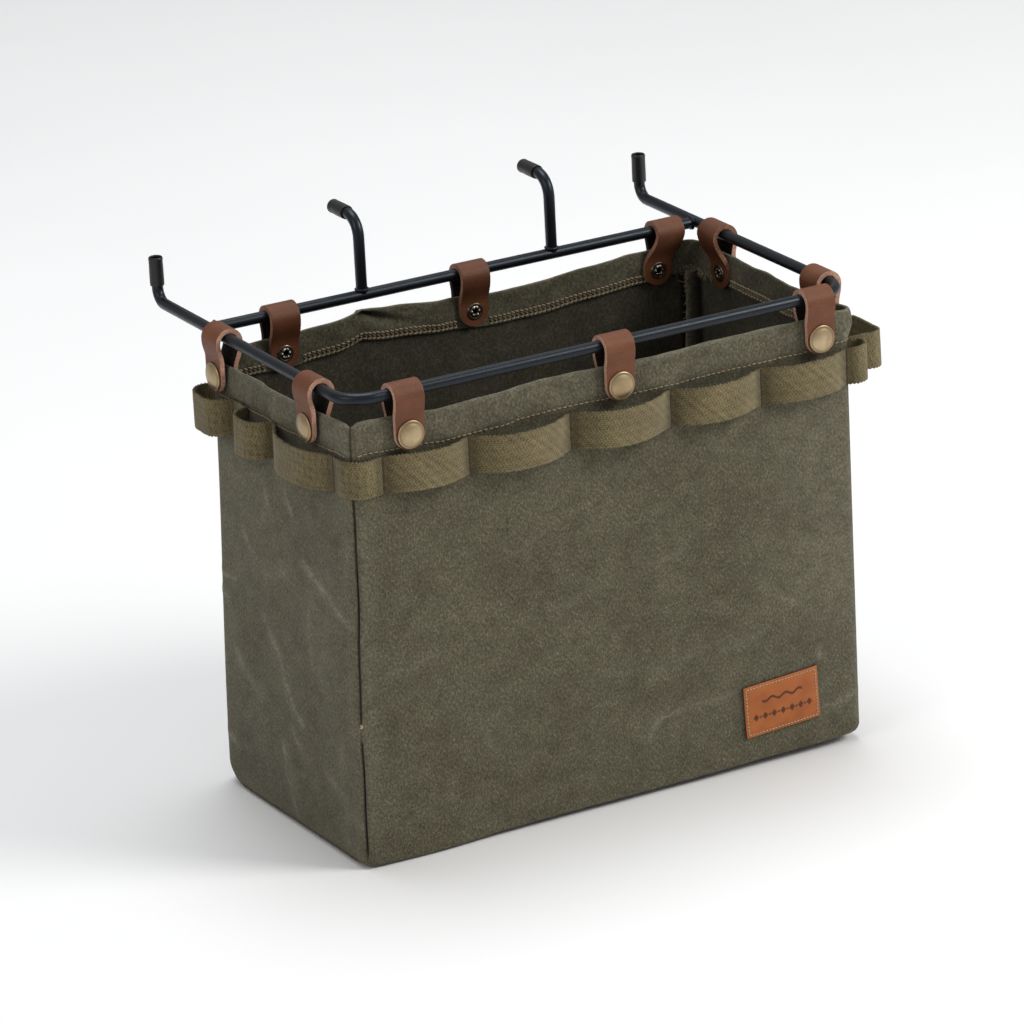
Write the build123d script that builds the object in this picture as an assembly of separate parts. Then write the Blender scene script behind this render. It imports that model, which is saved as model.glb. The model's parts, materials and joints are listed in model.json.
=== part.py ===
from build123d import *
import math
import os

# Canvas tool bag hung by leather snap straps inside a bent steel rod ring with four rail hooks.
# Millimetres, +Z up, +X along the long side, front wall at -Y.
# The origin is the centre of the bag's underside.

os.makedirs("parts", exist_ok=True)

# Bag body
bag_w = 295.0
bag_d = 152.0
bag_h = 240.0
corner_r = 7.0
canvas_t = 1.4
hem_t = 2.8
hem_h = 17.5
hem_edge_r = 0.9
base_t = 1.6
cut_l = 40.0

# Rod frame
rod_r = 3.0
ring_x = bag_w / 2 - hem_t / 2
ring_y = bag_d / 2 - hem_t / 2
ring_z = 249.0
ring_bend_r = 16.0
arm_y = 133.0
arm_bend_r = 7.5
arm_top_z = 271.3
hook_x = 57.0
hook_z = 291.0
hook_end_y = 99.9
hook_bend_r = 11.0
hook_root = 1.2
weld_r = 4.4
weld_l = 3.0
weld_bite = 2.1
hook_weld_rise = 1.4
bar_weld_in = 1.7

# Vinyl sleeves on the four rod ends
sleeve_r = 3.8
sleeve_l = 15.5
sleeve_overhang = 1.7
sleeve_gap = 0.02
sleeve_edge_r = 0.35

# Leather straps, in a local frame centred on the rod with the outside of the bag at -Y
strap_w = 16.5
strap_t = 2.5
loop_r = 5.2
loop_z = rod_r + 0.05 - loop_r
flap_gap = 0.3
flat_top_z = -12.5
snap_z = -21.0
flap_in = 3.6
hem_face = hem_t / 2
strap_bottom_z = snap_z - strap_w / 2
strap_blank_top = 20.0
tail_loop_ease = 6.0
tail_flat_ease = 3.5
flap_loop_ease = 5.0
flap_flat_ease = 4.0

# Snap fasteners
cap_r = 7.5
cap_edge = 0.9
cap_h = 2.3
cap_shoulder = 0.6
cap_shoulder_h = 0.55
cap_seat = 0.05
edge_break = 0.3
post_r = 1.5
flap_hole_r = 1.6
socket_r = 5.25
socket_bore_r = 2.6
socket_t = 1.5
socket_web = 0.3
socket_round = 0.5
stud_flange_r = 4.5
stud_flange_t = 0.5
stud_r = 2.0
stud_neck_r = 1.8
stud_h = 1.6
stud_round = 0.5
stud_root = 0.5
stud_flange_draft = 0.2
rivet_r = 1.4
rivet_hole_r = 1.5
washer_r = 4.75
washer_t = 0.9
washer_bore_r = 0.9
washer_round = 0.6
washer_edge = 0.4
washer_dish = 0.5

# Webbing band
web_t = 1.5
web_low = 198.4
web_high = 218.4
tack_w = 3.0
foot_r_max = 4.0
foot_share = 0.45

# Leather label
label_x0 = 73.5
label_x1 = 118.5
label_z0 = 19.0
label_z1 = 48.0
label_t = 1.6
label_corner_r = 1.2

# name, wall, distance of the strap's middle along that wall's rod
straps = [
    ("front_left", "front", -115.0),
    ("front_mid", "front", 6.5),
    ("front_right", "front", 126.0),
    ("back_left", "back", -105.5),
    ("back_mid", "back", 7.0),
    ("back_right", "back", 126.5),
    ("left_front", "left", -38.5),
    ("left_rear", "left", 61.0),
    ("right_front", "right", -49.0),
    ("right_rear", "right", 53.0),
]


def save(shape, name):
    export_step(shape, os.path.join("parts", name + ".step"))


def bent_wire(points, radii):
    """Straight runs between the points, with each inner corner rounded to its own radius."""
    edges = []
    start = Vector(*points[0])
    for k, radius in enumerate(radii):
        corner = Vector(*points[k + 1])
        before = (start - corner).normalized()
        after = (Vector(*points[k + 2]) - corner).normalized()
        half = math.acos(before.dot(after)) / 2
        middle_dir = (before + after).normalized()
        first = corner + before * (radius / math.tan(half))
        last = corner + after * (radius / math.tan(half))
        middle = corner + middle_dir * (radius / math.sin(half) - radius)
        edges.append(Line(start, first).edge())
        edges.append(ThreePointArc(first, middle, last).edge())
        start = last
    edges.append(Line(start, Vector(*points[-1])).edge())
    return Wire(edges)


def bent_rod(points, radii):
    heading = Vector(*points[1]) - Vector(*points[0])
    section = Plane(origin=points[0], z_dir=heading) * Circle(rod_r)
    return sweep(section, path=bent_wire(points, radii))


def perimeter_rod():
    points = [
        (-ring_x, arm_y, arm_top_z),
        (-ring_x, arm_y, ring_z),
        (-ring_x, -ring_y, ring_z),
        (ring_x, -ring_y, ring_z),
        (ring_x, arm_y, ring_z),
        (ring_x, arm_y, arm_top_z),
    ]
    return bent_rod(points, [arm_bend_r, ring_bend_r, ring_bend_r, arm_bend_r])


def side_rods():
    rods = Location((-ring_x, ring_y, ring_z)) * Rotation(90, 0, 0) * Cylinder(rod_r, cut_l)
    rods += Location((ring_x, ring_y, ring_z)) * Rotation(90, 0, 0) * Cylinder(rod_r, cut_l)
    return rods


def crossbar_core():
    length = 2 * (ring_x - weld_bite)
    return Location((0, ring_y, ring_z)) * Rotation(0, 90, 0) * Cylinder(rod_r, length)


def rear_crossbar():
    """Straight rod with a weld bead at each end, shaped to the side rods."""
    bar = crossbar_core()
    for side in (-1, 1):
        weld = Rotation(0, 90 * side, 0) * Cone(rod_r, weld_r, weld_l)
        bar += Location((side * (ring_x - bar_weld_in - weld_l / 2), ring_y, ring_z)) * weld
    return bar - side_rods()


def rail_hook(side):
    """Rod that stands on the crossbar and turns back over the rail, with a weld bead at its foot."""
    points = [
        (side * hook_x, ring_y, ring_z + hook_root),
        (side * hook_x, ring_y, hook_z),
        (side * hook_x, hook_end_y, hook_z),
    ]
    hook = bent_rod(points, [hook_bend_r])
    weld_z = ring_z + hook_weld_rise + weld_l / 2
    hook += Location((side * hook_x, ring_y, weld_z)) * Cone(weld_r, rod_r, weld_l)
    return hook - crossbar_core()


def sleeve():
    """Vinyl tube, mouth at +Z, with its mouth at the local origin."""
    tube = Pos(0, 0, -sleeve_l / 2) * Cylinder(sleeve_r, sleeve_l)
    tube = fillet(tube.edges().filter_by(GeomType.CIRCLE), sleeve_edge_r)
    return tube - Pos(0, 0, -sleeve_l / 2) * Cylinder(rod_r + sleeve_gap, sleeve_l + 2)


def arm_sleeve(side):
    return Location((side * ring_x, arm_y, arm_top_z + sleeve_overhang)) * sleeve()


def hook_sleeve(side):
    place = Location((side * hook_x, hook_end_y + sleeve_overhang, hook_z))
    return place * Rotation(-90, 0, 0) * sleeve()


def wall_ring():
    """The four walls as one closed band, with the folded hem thicker inwards at the top."""
    outer = RectangleRounded(bag_w, bag_d, corner_r)
    inner = RectangleRounded(bag_w - 2 * canvas_t, bag_d - 2 * canvas_t, corner_r - canvas_t)
    fold = RectangleRounded(bag_w - 2 * hem_t, bag_d - 2 * hem_t, corner_r - hem_t)
    hem = extrude(Pos(0, 0, bag_h - hem_h) * (outer - fold), hem_h)
    top_edges = hem.edges().group_by(Axis.Z)[-1]
    hem = fillet(top_edges, hem_edge_r)
    cloth = extrude(Pos(0, 0, base_t) * (outer - inner), bag_h - hem_h - base_t)
    return cloth + hem


def wall_sector(wall):
    """Everything in front of the four corner seams on one side of the bag."""
    cx = bag_w / 2 - corner_r
    cy = bag_d / 2 - corner_r
    far = cut_l
    front = [(-cx, -cy), (-cx - far, -cy - far), (cx + far, -cy - far), (cx, -cy)]
    left = [(-cx, -cy), (-cx, cy), (-cx - far, cy + far), (-cx - far, -cy - far)]
    outline = {
        "front": front,
        "back": [(x, -y) for x, y in front],
        "left": left,
        "right": [(-x, y) for x, y in left],
    }[wall]
    return extrude(make_face(Polyline(*outline, close=True)), bag_h + 10, dir=(0, 0, 1))


def place_strap(wall, along):
    """Location of the strap's local frame on the rod."""
    if wall == "front":
        return Location((along, -ring_y, ring_z))
    if wall == "back":
        return Location((along, ring_y, ring_z)) * Rotation(0, 0, 180)
    if wall == "left":
        return Location((-ring_x, along, ring_z)) * Rotation(0, 0, -90)
    return Location((ring_x, along, ring_z)) * Rotation(0, 0, 90)


def snap_drill(radius):
    return Pos(0, 0, snap_z) * Rotation(90, 0, 0) * Cylinder(radius, cut_l)


def canvas_wall(wall):
    panel = wall_ring() & wall_sector(wall)
    for name, side, along in straps:
        if side == wall:
            panel -= place_strap(side, along) * snap_drill(rivet_hole_r)
    return panel


def canvas_base():
    return extrude(RectangleRounded(bag_w, bag_d, corner_r), base_t)


def strap_outline():
    """Plan shape of the leather, round at the snap end."""
    body = Pos(0, (snap_z + strap_blank_top) / 2) * Rectangle(strap_w, strap_blank_top - snap_z)
    return extrude(Plane.XZ * (body + Pos(0, snap_z) * Circle(strap_w / 2)), cut_l, both=True)


def strap_tail():
    """Inner end of the strap and the bend over the rod."""
    out_r = loop_r + strap_t
    back = hem_face + strap_t
    loop_ease_z = loop_z - tail_loop_ease
    flat_ease_z = flat_top_z + tail_flat_ease
    inner_bend = (hem_face, flat_top_z), (hem_face, flat_ease_z), (loop_r, loop_ease_z), (loop_r, loop_z)
    lines = [
        ThreePointArc((-out_r, loop_z), (0, loop_z + out_r), (out_r, loop_z)),
        Bezier((out_r, loop_z), (out_r, loop_ease_z), (back, flat_ease_z), (back, flat_top_z)),
        Line((back, flat_top_z), (back, strap_bottom_z)),
        Line((back, strap_bottom_z), (hem_face, strap_bottom_z)),
        Line((hem_face, strap_bottom_z), (hem_face, flat_top_z)),
        Bezier(*inner_bend),
        ThreePointArc((loop_r, loop_z), (0, loop_z + loop_r), (-loop_r, loop_z)),
        Line((-loop_r, loop_z), (-out_r, loop_z)),
    ]
    profile = make_face(Wire([line.edge() for line in lines]))
    tail = extrude(Plane.YZ * profile, strap_w / 2, both=True) & strap_outline()
    return tail - snap_drill(rivet_hole_r)


def strap_flap():
    """Outer end of the strap, from the bend line down to its round end."""
    out_r = loop_r + strap_t
    top = loop_z - flap_gap
    face = flap_in + strap_t
    loop_ease_z = top - flap_loop_ease
    flat_ease_z = flat_top_z + flap_flat_ease
    lines = [
        Line((-loop_r, top), (-out_r, top)),
        Bezier((-out_r, top), (-out_r, loop_ease_z), (-face, flat_ease_z), (-face, flat_top_z)),
        Line((-face, flat_top_z), (-face, strap_bottom_z)),
        Line((-face, strap_bottom_z), (-flap_in, strap_bottom_z)),
        Line((-flap_in, strap_bottom_z), (-flap_in, flat_top_z)),
        Bezier((-flap_in, flat_top_z), (-flap_in, flat_ease_z), (-loop_r, loop_ease_z), (-loop_r, top)),
    ]
    profile = make_face(Wire([line.edge() for line in lines]))
    flap = extrude(Plane.YZ * profile, strap_w / 2, both=True) & strap_outline()
    return flap - snap_drill(flap_hole_r)


def turned(points, curve=None):
    """Solid of revolution about the snap's axis; points are (radius, distance outside the rod)."""
    outline = [(radius, -out) for radius, out in points]
    edges = []
    for k, start in enumerate(outline):
        end = outline[(k + 1) % len(outline)]
        if curve and k in curve:
            radius, out = curve[k]
            edges.append(ThreePointArc(start, (radius, -out), end).edge())
        else:
            edges.append(Line(start, end).edge())
    solid = revolve(make_face(Wire(edges)), Axis.Y)
    return Pos(0, 0, snap_z) * solid


def snap_cap():
    face = flap_in + strap_t
    inner = flap_in - socket_web + cap_seat
    shoulder_r = cap_r - cap_shoulder
    rise = cap_h - cap_edge - cap_shoulder_h
    dome_r = (shoulder_r ** 2 + rise ** 2) / (2 * rise)
    half_r = shoulder_r / 2
    half_out = face + cap_h - dome_r + math.sqrt(dome_r ** 2 - half_r ** 2)
    points = [
        (0, inner),
        (post_r, inner),
        (post_r, face),
        (cap_r - edge_break, face),
        (cap_r, face + edge_break),
        (cap_r, face + cap_edge),
        (shoulder_r, face + cap_edge + cap_shoulder_h),
        (0, face + cap_h),
    ]
    return turned(points, {6: (half_r, half_out)})


def snap_socket():
    low = flap_in - socket_t
    web = flap_in - socket_web
    points = [
        (flap_hole_r, flap_in),
        (flap_hole_r, web),
        (socket_bore_r, web),
        (socket_bore_r, low + edge_break),
        (socket_bore_r + edge_break, low),
        (socket_r - socket_round, low),
        (socket_r, low + socket_round),
        (socket_r, flap_in),
    ]
    return turned(points)


def snap_stud():
    base = hem_face + stud_flange_t
    tip = hem_face + stud_h
    back = -(hem_face + strap_t)
    points = [
        (0, tip),
        (0, -stud_root),
        (washer_bore_r, -stud_root),
        (washer_bore_r, back - washer_t + edge_break),
        (washer_bore_r + washer_dish, back - washer_t),
        (washer_r - washer_round, back - washer_t),
        (washer_r, back - washer_edge),
        (washer_r, back),
        (rivet_r, back),
        (rivet_r, hem_face),
        (stud_flange_r, hem_face),
        (stud_flange_r - stud_flange_draft, base),
        (stud_neck_r, base),
        (stud_r, base + stud_round),
        (stud_r - stud_round, tip),
    ]
    return turned(points)


def snap_studs():
    return Compound(children=[place_strap(wall, along) * snap_stud() for name, wall, along in straps])


def label():
    width = label_x1 - label_x0
    height = label_z1 - label_z0
    plate = extrude(Plane.XZ * RectangleRounded(width, height, label_corner_r), label_t)
    return Pos((label_x0 + label_x1) / 2, -bag_d / 2, (label_z0 + label_z1) / 2) * plate


def wall_point(wall, along, off):
    """Point on the webbing's middle line, off the flat run by the given distance."""
    reach = off + web_t / 2
    if wall == "front":
        return (along, -bag_d / 2 - reach, 0)
    if wall == "back":
        return (along, bag_d / 2 + reach, 0)
    if wall == "left":
        return (-bag_w / 2 - reach, along, 0)
    return (bag_w / 2 + reach, along, 0)


def foot_radius(lean, bulge):
    """Bend radius where a loop leaves the canvas, kept inside half a tack's width."""
    angle = math.atan2(bulge, lean)
    return min(foot_r_max, foot_share * tack_w / math.tan(angle / 2))


def sewn_run(wall, tacks, loops):
    """Corners and radii of the loops along one wall; each loop is (bulge, lean, top radius)."""
    points = []
    radii = []
    for k, (bulge, lean, top_r) in enumerate(loops):
        start = tacks[k] + tack_w / 2
        end = tacks[k + 1] - tack_w / 2
        foot = foot_radius(lean, bulge)
        points += [wall_point(wall, start, 0), wall_point(wall, start + lean, bulge)]
        points += [wall_point(wall, end - lean, bulge), wall_point(wall, end, 0)]
        radii += [foot, top_r, top_r, foot]
    return points, radii


def band(points, radii):
    """Webbing standing on edge, its middle line through the rounded points."""
    heading = Vector(*points[1]) - Vector(*points[0])
    middle = (web_low + web_high) / 2
    start = Plane(origin=points[0], x_dir=(-heading.Y, heading.X, 0), z_dir=heading)
    strip = sweep(start * Rectangle(web_t, web_high - web_low), path=bent_wire(points, radii))
    return Pos(0, 0, middle) * strip


front_tacks = [-129.7, -80.7, -22.0, 37.0, 91.0, 143.0]
front_loops = [(6.5, 12, 28), (11, 16, 34), (11, 16, 34), (9, 14, 32), (7.5, 13, 30)]
back_tacks = [-130.0, -78.0, -26.0, 26.0, 78.0, 130.0]
back_loops = [(8, 14, 30)] * 5
left_tacks = [-60.0, 4.0, 34.0]
left_last_tack = 48.0
left_loops = [(10, 17, 34), (12, 2, 10.5)]
right_tacks = [-62.0, -30.0, 4.0, 48.0]
right_loops = [(27, -4, 7), (12, 3, 11), (9, 10, 22)]

# Corners of the loops that go round the bag's own corners, and their bend radii
front_left_turn = (-151.0, -80.2, 0)
front_left_radii = [4.0, 10.0, 4.0]
rear_left_turn = [(-159.5, 54.0, 0), (-158.0, 82.3, 0)]
rear_left_radii = [1.9, 7.5, 10.0, 3.0]
front_right_turn = [(159.0, -81.0, 0), (158.0, -66.5, 0)]
front_right_radii = [3.0, 8.5, 4.5, 1.4]
rear_right_turn = [(158.0, 55.0, 0), (157.0, 82.0, 0)]
rear_right_radii = [1.7, 8.0, 10.0, 3.0]


def webbing_front():
    points, radii = sewn_run("front", front_tacks, front_loops)
    first = wall_point("front", front_tacks[0], 0)
    last = wall_point("front", front_tacks[-1], 0)
    return band([first] + points + [last], radii)


def webbing_back():
    points, radii = sewn_run("back", back_tacks, back_loops)
    first = wall_point("back", back_tacks[0], 0)
    last = wall_point("back", back_tacks[-1], 0)
    return band([first] + points + [last], radii)


def webbing_left():
    """Left wall and both left corners, from the front wall's first tack to the back wall's."""
    pad = tack_w / 2
    points, radii = sewn_run("left", left_tacks, left_loops)
    near = [
        wall_point("front", front_tacks[0], 0),
        wall_point("front", front_tacks[0] - pad, 0),
        front_left_turn,
        wall_point("left", left_tacks[0] - pad, 0),
    ]
    far = [
        wall_point("left", left_last_tack + pad, 0),
        *rear_left_turn,
        wall_point("back", back_tacks[0] - pad, 0),
        wall_point("back", back_tacks[0], 0),
    ]
    return band(near + points + far, front_left_radii + radii + rear_left_radii)


def webbing_right():
    """Right wall and both right corners."""
    pad = tack_w / 2
    points, radii = sewn_run("right", right_tacks, right_loops)
    near = [
        wall_point("front", front_tacks[-1], 0),
        wall_point("front", front_tacks[-1] + pad, 0),
        *front_right_turn,
        wall_point("right", right_tacks[0] - pad, 0),
    ]
    far = [
        wall_point("right", right_tacks[-1] + pad, 0),
        *rear_right_turn,
        wall_point("back", back_tacks[-1] + pad, 0),
        wall_point("back", back_tacks[-1], 0),
    ]
    return band(near + points + far, front_right_radii + radii + rear_right_radii)


save(perimeter_rod(), "perimeter_rod")
save(rear_crossbar(), "rear_crossbar")
save(rail_hook(-1), "rail_hook_left")
save(rail_hook(1), "rail_hook_right")
save(arm_sleeve(-1), "sleeve_arm_left")
save(arm_sleeve(1), "sleeve_arm_right")
save(hook_sleeve(-1), "sleeve_hook_left")
save(hook_sleeve(1), "sleeve_hook_right")
for side in ("front", "back", "left", "right"):
    save(canvas_wall(side), "canvas_" + side)
save(canvas_base(), "canvas_base")
save(label(), "leather_label")
save(webbing_front(), "webbing_front")
save(webbing_back(), "webbing_back")
save(webbing_left(), "webbing_left")
save(webbing_right(), "webbing_right")
save(snap_studs(), "snap_studs")
for name, wall, along in straps:
    place = place_strap(wall, along)
    save(place * strap_tail(), "strap_tail_" + name)
    save(place * strap_flap(), "strap_flap_" + name)
    save(place * snap_cap(), "snap_cap_" + name)
    save(place * snap_socket(), "snap_socket_" + name)
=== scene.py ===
import json
import math

import bmesh
import bpy
import numpy as np
from mathutils import Matrix, Vector


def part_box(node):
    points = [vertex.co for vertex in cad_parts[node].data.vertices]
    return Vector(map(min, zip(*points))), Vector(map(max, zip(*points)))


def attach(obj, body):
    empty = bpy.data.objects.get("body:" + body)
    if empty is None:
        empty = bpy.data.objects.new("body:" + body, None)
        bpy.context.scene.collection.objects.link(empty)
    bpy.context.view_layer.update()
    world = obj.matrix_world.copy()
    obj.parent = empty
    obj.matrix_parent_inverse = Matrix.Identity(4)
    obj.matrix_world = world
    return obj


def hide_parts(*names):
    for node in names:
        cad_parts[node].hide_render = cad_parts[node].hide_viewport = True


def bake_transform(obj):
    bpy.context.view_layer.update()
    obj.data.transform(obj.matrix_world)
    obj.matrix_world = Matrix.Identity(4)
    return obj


# Looks of the canvas tool bag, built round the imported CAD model.
# Shapes are worked out in millimetres, in the CAD frame, and scaled to metres as each mesh is made.

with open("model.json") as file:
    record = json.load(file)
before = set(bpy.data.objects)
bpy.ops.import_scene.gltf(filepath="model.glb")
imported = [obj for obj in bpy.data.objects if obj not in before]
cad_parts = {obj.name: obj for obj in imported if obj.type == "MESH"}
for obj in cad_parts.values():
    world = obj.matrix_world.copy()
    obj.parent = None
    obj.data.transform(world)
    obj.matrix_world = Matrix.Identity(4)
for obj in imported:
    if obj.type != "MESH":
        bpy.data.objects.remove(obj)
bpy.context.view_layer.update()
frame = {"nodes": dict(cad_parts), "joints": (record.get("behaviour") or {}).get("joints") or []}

MM = 0.001
UP = np.array([0.0, 0.0, 1.0])
ROOT = "bag_and_frame"


def node_box(node):
    """Lowest and highest corner of a CAD node, in mm."""
    low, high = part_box(node)
    return np.array(low) / MM, np.array(high) / MM


# Sizes read from the frame
bag_h = node_box("canvas_front")[1][2]
bag_x, bag_y, base_t = node_box("canvas_base")[1]
ring_low, ring_high = node_box("perimeter_rod")
bar_low, bar_high = node_box("rear_crossbar")
web_low, web_high = (corner[2] for corner in node_box("webbing_front"))
label_low, label_high = node_box("leather_label")

# Sizes shared with the CAD source
corner_r = 7.0
canvas_t = 1.4
hem_face = 1.4
hem_h = 17.5
rod_r = 3.0
web_t = 1.5
tack_w = 3.0
strap_w = 16.5
strap_t = 2.5
loop_r = 5.2
loop_z = rod_r + 0.05 - loop_r
flap_gap = 0.3
flat_top_z = -12.5
snap_z = -21.0
flap_in = 3.6
ring_bend_r = 16.0
arm_bend_r = 7.5
hook_bend_r = 11.0
cap_r = 7.5

ring_x = ring_high[0] - rod_r
ring_y = -ring_low[1] - rod_r
ring_z = ring_low[2] + rod_r
fold_z = bag_h - hem_h

# The cloth's own shape: heights between which the wall's bulges end, the hem's wave starts and the hem comes
# free, distances from a strap that leave the hem free, sizes of the seams, flares and pleat, and where the painted
# shadow in the rear right nook falls
wall_zone = (186.0, 200.0)
rise_zone = (196.0, 221.0)
hem_zone = (214.0, 231.0)
free_of_strap = (8.5, 22.0)
seam_knot_z = (70.0, 78.0)
left_foot = 2.1
left_flare = 4.6
left_flare_reach = 80.0
rear_flare = 3.0
pleat_depth = 4.6
nook_offset = 3.9

# Sewing and weave, and the direction that points right as seen from the front left, from which the webbing's painted
# light comes
stitch_wander = 0.12
border_stitch_in = 1.45
label_turn = math.radians(3.6)
weave_pitch = 1.1
weave_relief = 0.2
chevron_h = 3.4
pinch_depth = 0.5
to_the_right = np.array([0.9, -0.45])

# Facets round the turned parts, and the radius on the leather's edges
cap_sides = 72
washer_sides = 48
stud_sides = 40
edge_softening = 0.42


def smooth(low, high, x):
    """Eased step from 0 at low to 1 at high."""
    t = np.clip((np.asarray(x, float) - low) / (high - low), 0, 1)
    return t * t * (3 - 2 * t)


def fade(low, high, x):
    """Eased step from 1 at low to 0 at high."""
    return 1 - smooth(low, high, x)


def hump(x, width):
    """Bell curve, 1 at 0."""
    return np.exp(-((np.asarray(x, float) / width) ** 2))


def ripples(u, v, seed, shortest, longest, count=9):
    """Smooth random field of about -1 to 1, the same on each run."""
    rng = np.random.default_rng(seed)
    total = np.zeros(np.broadcast(u, v).shape)
    for _ in range(count):
        angle = rng.uniform(0, math.tau)
        wave = rng.uniform(shortest, longest)
        phase = rng.uniform(0, math.tau)
        total = total + np.sin(math.tau * (u * math.cos(angle) + v * math.sin(angle)) / wave + phase)
    return total / math.sqrt(2 * count)


# ---------------- materials


def srgb(r, g, b):
    """Linear colour from 0-255 sRGB numbers."""
    parts = [c / 255 for c in (r, g, b)]
    return tuple(((c + 0.055) / 1.055) ** 2.4 if c > 0.04045 else c / 12.92 for c in parts) + (1.0,)


class Look:
    """A procedural material, with short ways to add its nodes."""

    def __init__(self, name, roughness, metallic=0.0, specular=0.5, sheen=0.0, coat=0.0):
        self.material = bpy.data.materials.new(name)
        self.material.use_nodes = True
        self.tree = self.material.node_tree
        self.sockets = self.tree.nodes["Principled BSDF"].inputs
        surface = {"Roughness": roughness, "Metallic": metallic, "Specular IOR Level": specular,
                   "Sheen Weight": sheen, "Sheen Roughness": 0.5, "Coat Weight": coat, "Coat Roughness": 0.35}
        for socket, value in surface.items():
            self.sockets[socket].default_value = value

    def put(self, kind, values, output=0, **settings):
        """Adds a node and gives its output; values are numbers, colours or other nodes' outputs."""
        node = self.tree.nodes.new(kind)
        for key, value in settings.items():
            setattr(node, key, value)
        for key, value in values.items():
            if isinstance(value, bpy.types.NodeSocket):
                self.tree.links.new(value, node.inputs[key])
            else:
                node.inputs[key].default_value = value
        return node.outputs[output]

    def ramp(self, fac, *stops):
        """Colour ramp; stops are (position, colour or grey level)."""
        colour = self.put("ShaderNodeValToRGB", {"Fac": fac}, "Color")
        elements = colour.node.color_ramp.elements
        for k, (position, tone) in enumerate(stops):
            element = elements[k] if k < 2 else elements.new(position)
            element.position = position
            element.color = tone if isinstance(tone, tuple) else (tone, tone, tone, 1.0)
        return colour

    def mix(self, fac, a, b, blend="MIX"):
        return self.put("ShaderNodeMix", {0: fac, 6: a, 7: b}, 2, data_type="RGBA", blend_type=blend)

    def toned(self, base, fac, *stops):
        """The base colour multiplied by a ramp."""
        return self.mix(1.0, base, self.ramp(fac, *stops), "MULTIPLY")

    def plus(self, a, b):
        return self.put("ShaderNodeMath", {0: a, 1: b}, operation="ADD")

    def times(self, a, b, clamp=False):
        return self.put("ShaderNodeMath", {0: a, 1: b}, operation="MULTIPLY", use_clamp=clamp)

    def wave(self, a, length):
        return self.put("ShaderNodeMath", {0: self.times(a, math.tau / length)}, operation="SINE")

    def noise(self, vector, scale, detail=3.0, rough=0.55, distortion=0.0):
        values = {"Vector": vector, "Scale": scale, "Detail": detail, "Roughness": rough, "Distortion": distortion}
        return self.put("ShaderNodeTexNoise", values, "Fac")

    def stretched(self, vector, scale, turn=0.0):
        return self.put("ShaderNodeMapping", {"Vector": vector, "Rotation": (0.0, 0.0, turn), "Scale": scale})

    def attribute(self, name, output="Fac"):
        return self.put("ShaderNodeAttribute", {}, output, attribute_name=name)

    def finished(self, colour, height, distance, strength, roughness=None):
        """Joins colour, bump and roughness to the shader and gives the material."""
        bump = {"Height": height, "Distance": distance, "Strength": strength}
        self.tree.links.new(colour, self.sockets["Base Color"])
        self.tree.links.new(self.put("ShaderNodeBump", bump, "Normal"), self.sockets["Normal"])
        if roughness is not None:
            self.tree.links.new(roughness, self.sockets["Roughness"])
        return self.material


def canvas_look():
    """Washed cotton canvas: faint twill, heathered yarn, cloudy wash, pale rubbed creases, a patch of painted light
    and painted shade.
    """
    look = Look("canvas", 0.92, specular=0.18, sheen=0.1)
    cloth = look.attribute("cloth", "Vector")
    apart = look.put("ShaderNodeSeparateXYZ", {"Vector": cloth}).node.outputs
    yarn = look.noise(look.stretched(cloth, (1.0, 0.7, 1.0), math.radians(38)), 0.85, 4.0, 0.75)
    flecks = look.noise(cloth, 1.2, 4.0, 0.75)
    slope = look.plus(look.times(apart[0], 0.8), apart[1])
    wobble = look.times(look.noise(cloth, 0.5, 3.0), 5.0)
    phase = look.plus(look.times(slope, math.tau / 1.5), wobble)
    twill = look.put("ShaderNodeMath", {0: phase}, operation="SINE")
    grain = look.plus(yarn, look.times(twill, 0.02))
    base = look.ramp(grain, (0.28, srgb(56, 53, 40)), (0.5, srgb(86, 82, 65)), (0.72, srgb(120, 115, 97)))
    base = look.toned(base, flecks, (0.3, 0.72), (0.5, 1.0), (0.7, 1.34))
    base = look.toned(base, look.noise(cloth, 0.1, 5.0, 0.72, 0.4), (0.32, 0.78), (0.68, 1.2))
    clouds = look.noise(cloth, 0.026, 4.0, 0.6, 0.5)
    base = look.toned(base, clouds, (0.3, srgb(240, 236, 233)), (0.5, 1.0), (0.7, 1.14))
    broken = look.ramp(look.noise(cloth, 0.75, 5.0, 0.8), (0.42, 0.0), (0.60, 1.0))
    broken = look.plus(look.times(broken, 0.85), 0.12)
    faded = look.ramp(look.noise(cloth, 0.14, 3.0, 0.6), (0.35, 0.3), (0.6, 1.0))
    # Paler where rubbed wear shows on creases and edges, and on a patch of painted light
    wear_and_painted_light = look.times(look.times(look.attribute("rub"), look.times(broken, faded)), 0.66, clamp=True)
    base = look.mix(wear_and_painted_light, base, srgb(170, 166, 148))
    # Painted shade: dark in the seam grooves, under the webbing, inside the bag and on its bottom panel
    base = look.mix(look.attribute("shade"), base, srgb(11, 10, 7))
    weave = look.times(look.times(look.wave(apart[0], 1.1), look.wave(apart[1], 1.0)), 0.2)
    return look.finished(base, look.plus(weave, look.plus(grain, flecks)), 0.0004, 0.4)


def webbing_look():
    """Coarse cotton webbing; the weave is in the mesh, with its depth, its painted light and its painted shade in the
    relief attribute.
    """
    look = Look("webbing", 0.9, specular=0.2, sheen=0.15)
    cloth = look.attribute("cloth", "Vector")
    base = look.ramp(look.attribute("relief"), (0.0, srgb(50, 42, 26)), (0.35, srgb(100, 89, 62)),
                     (1.0, srgb(142, 130, 96)))
    yarn = look.noise(look.stretched(cloth, (1.0, 0.6, 1.0)), 1.3, 3.0, 0.75)
    base = look.toned(base, yarn, (0.3, 0.72), (0.5, 1.0), (0.7, 1.24))
    base = look.toned(base, look.noise(cloth, 0.06, 4.0, 0.65), (0.3, 0.74), (0.7, 1.16))
    return look.finished(base, look.noise(look.stretched(cloth, (2.0, 0.6, 1.0)), 2.4, 3.0, 0.7), 0.0003, 0.6)


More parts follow.
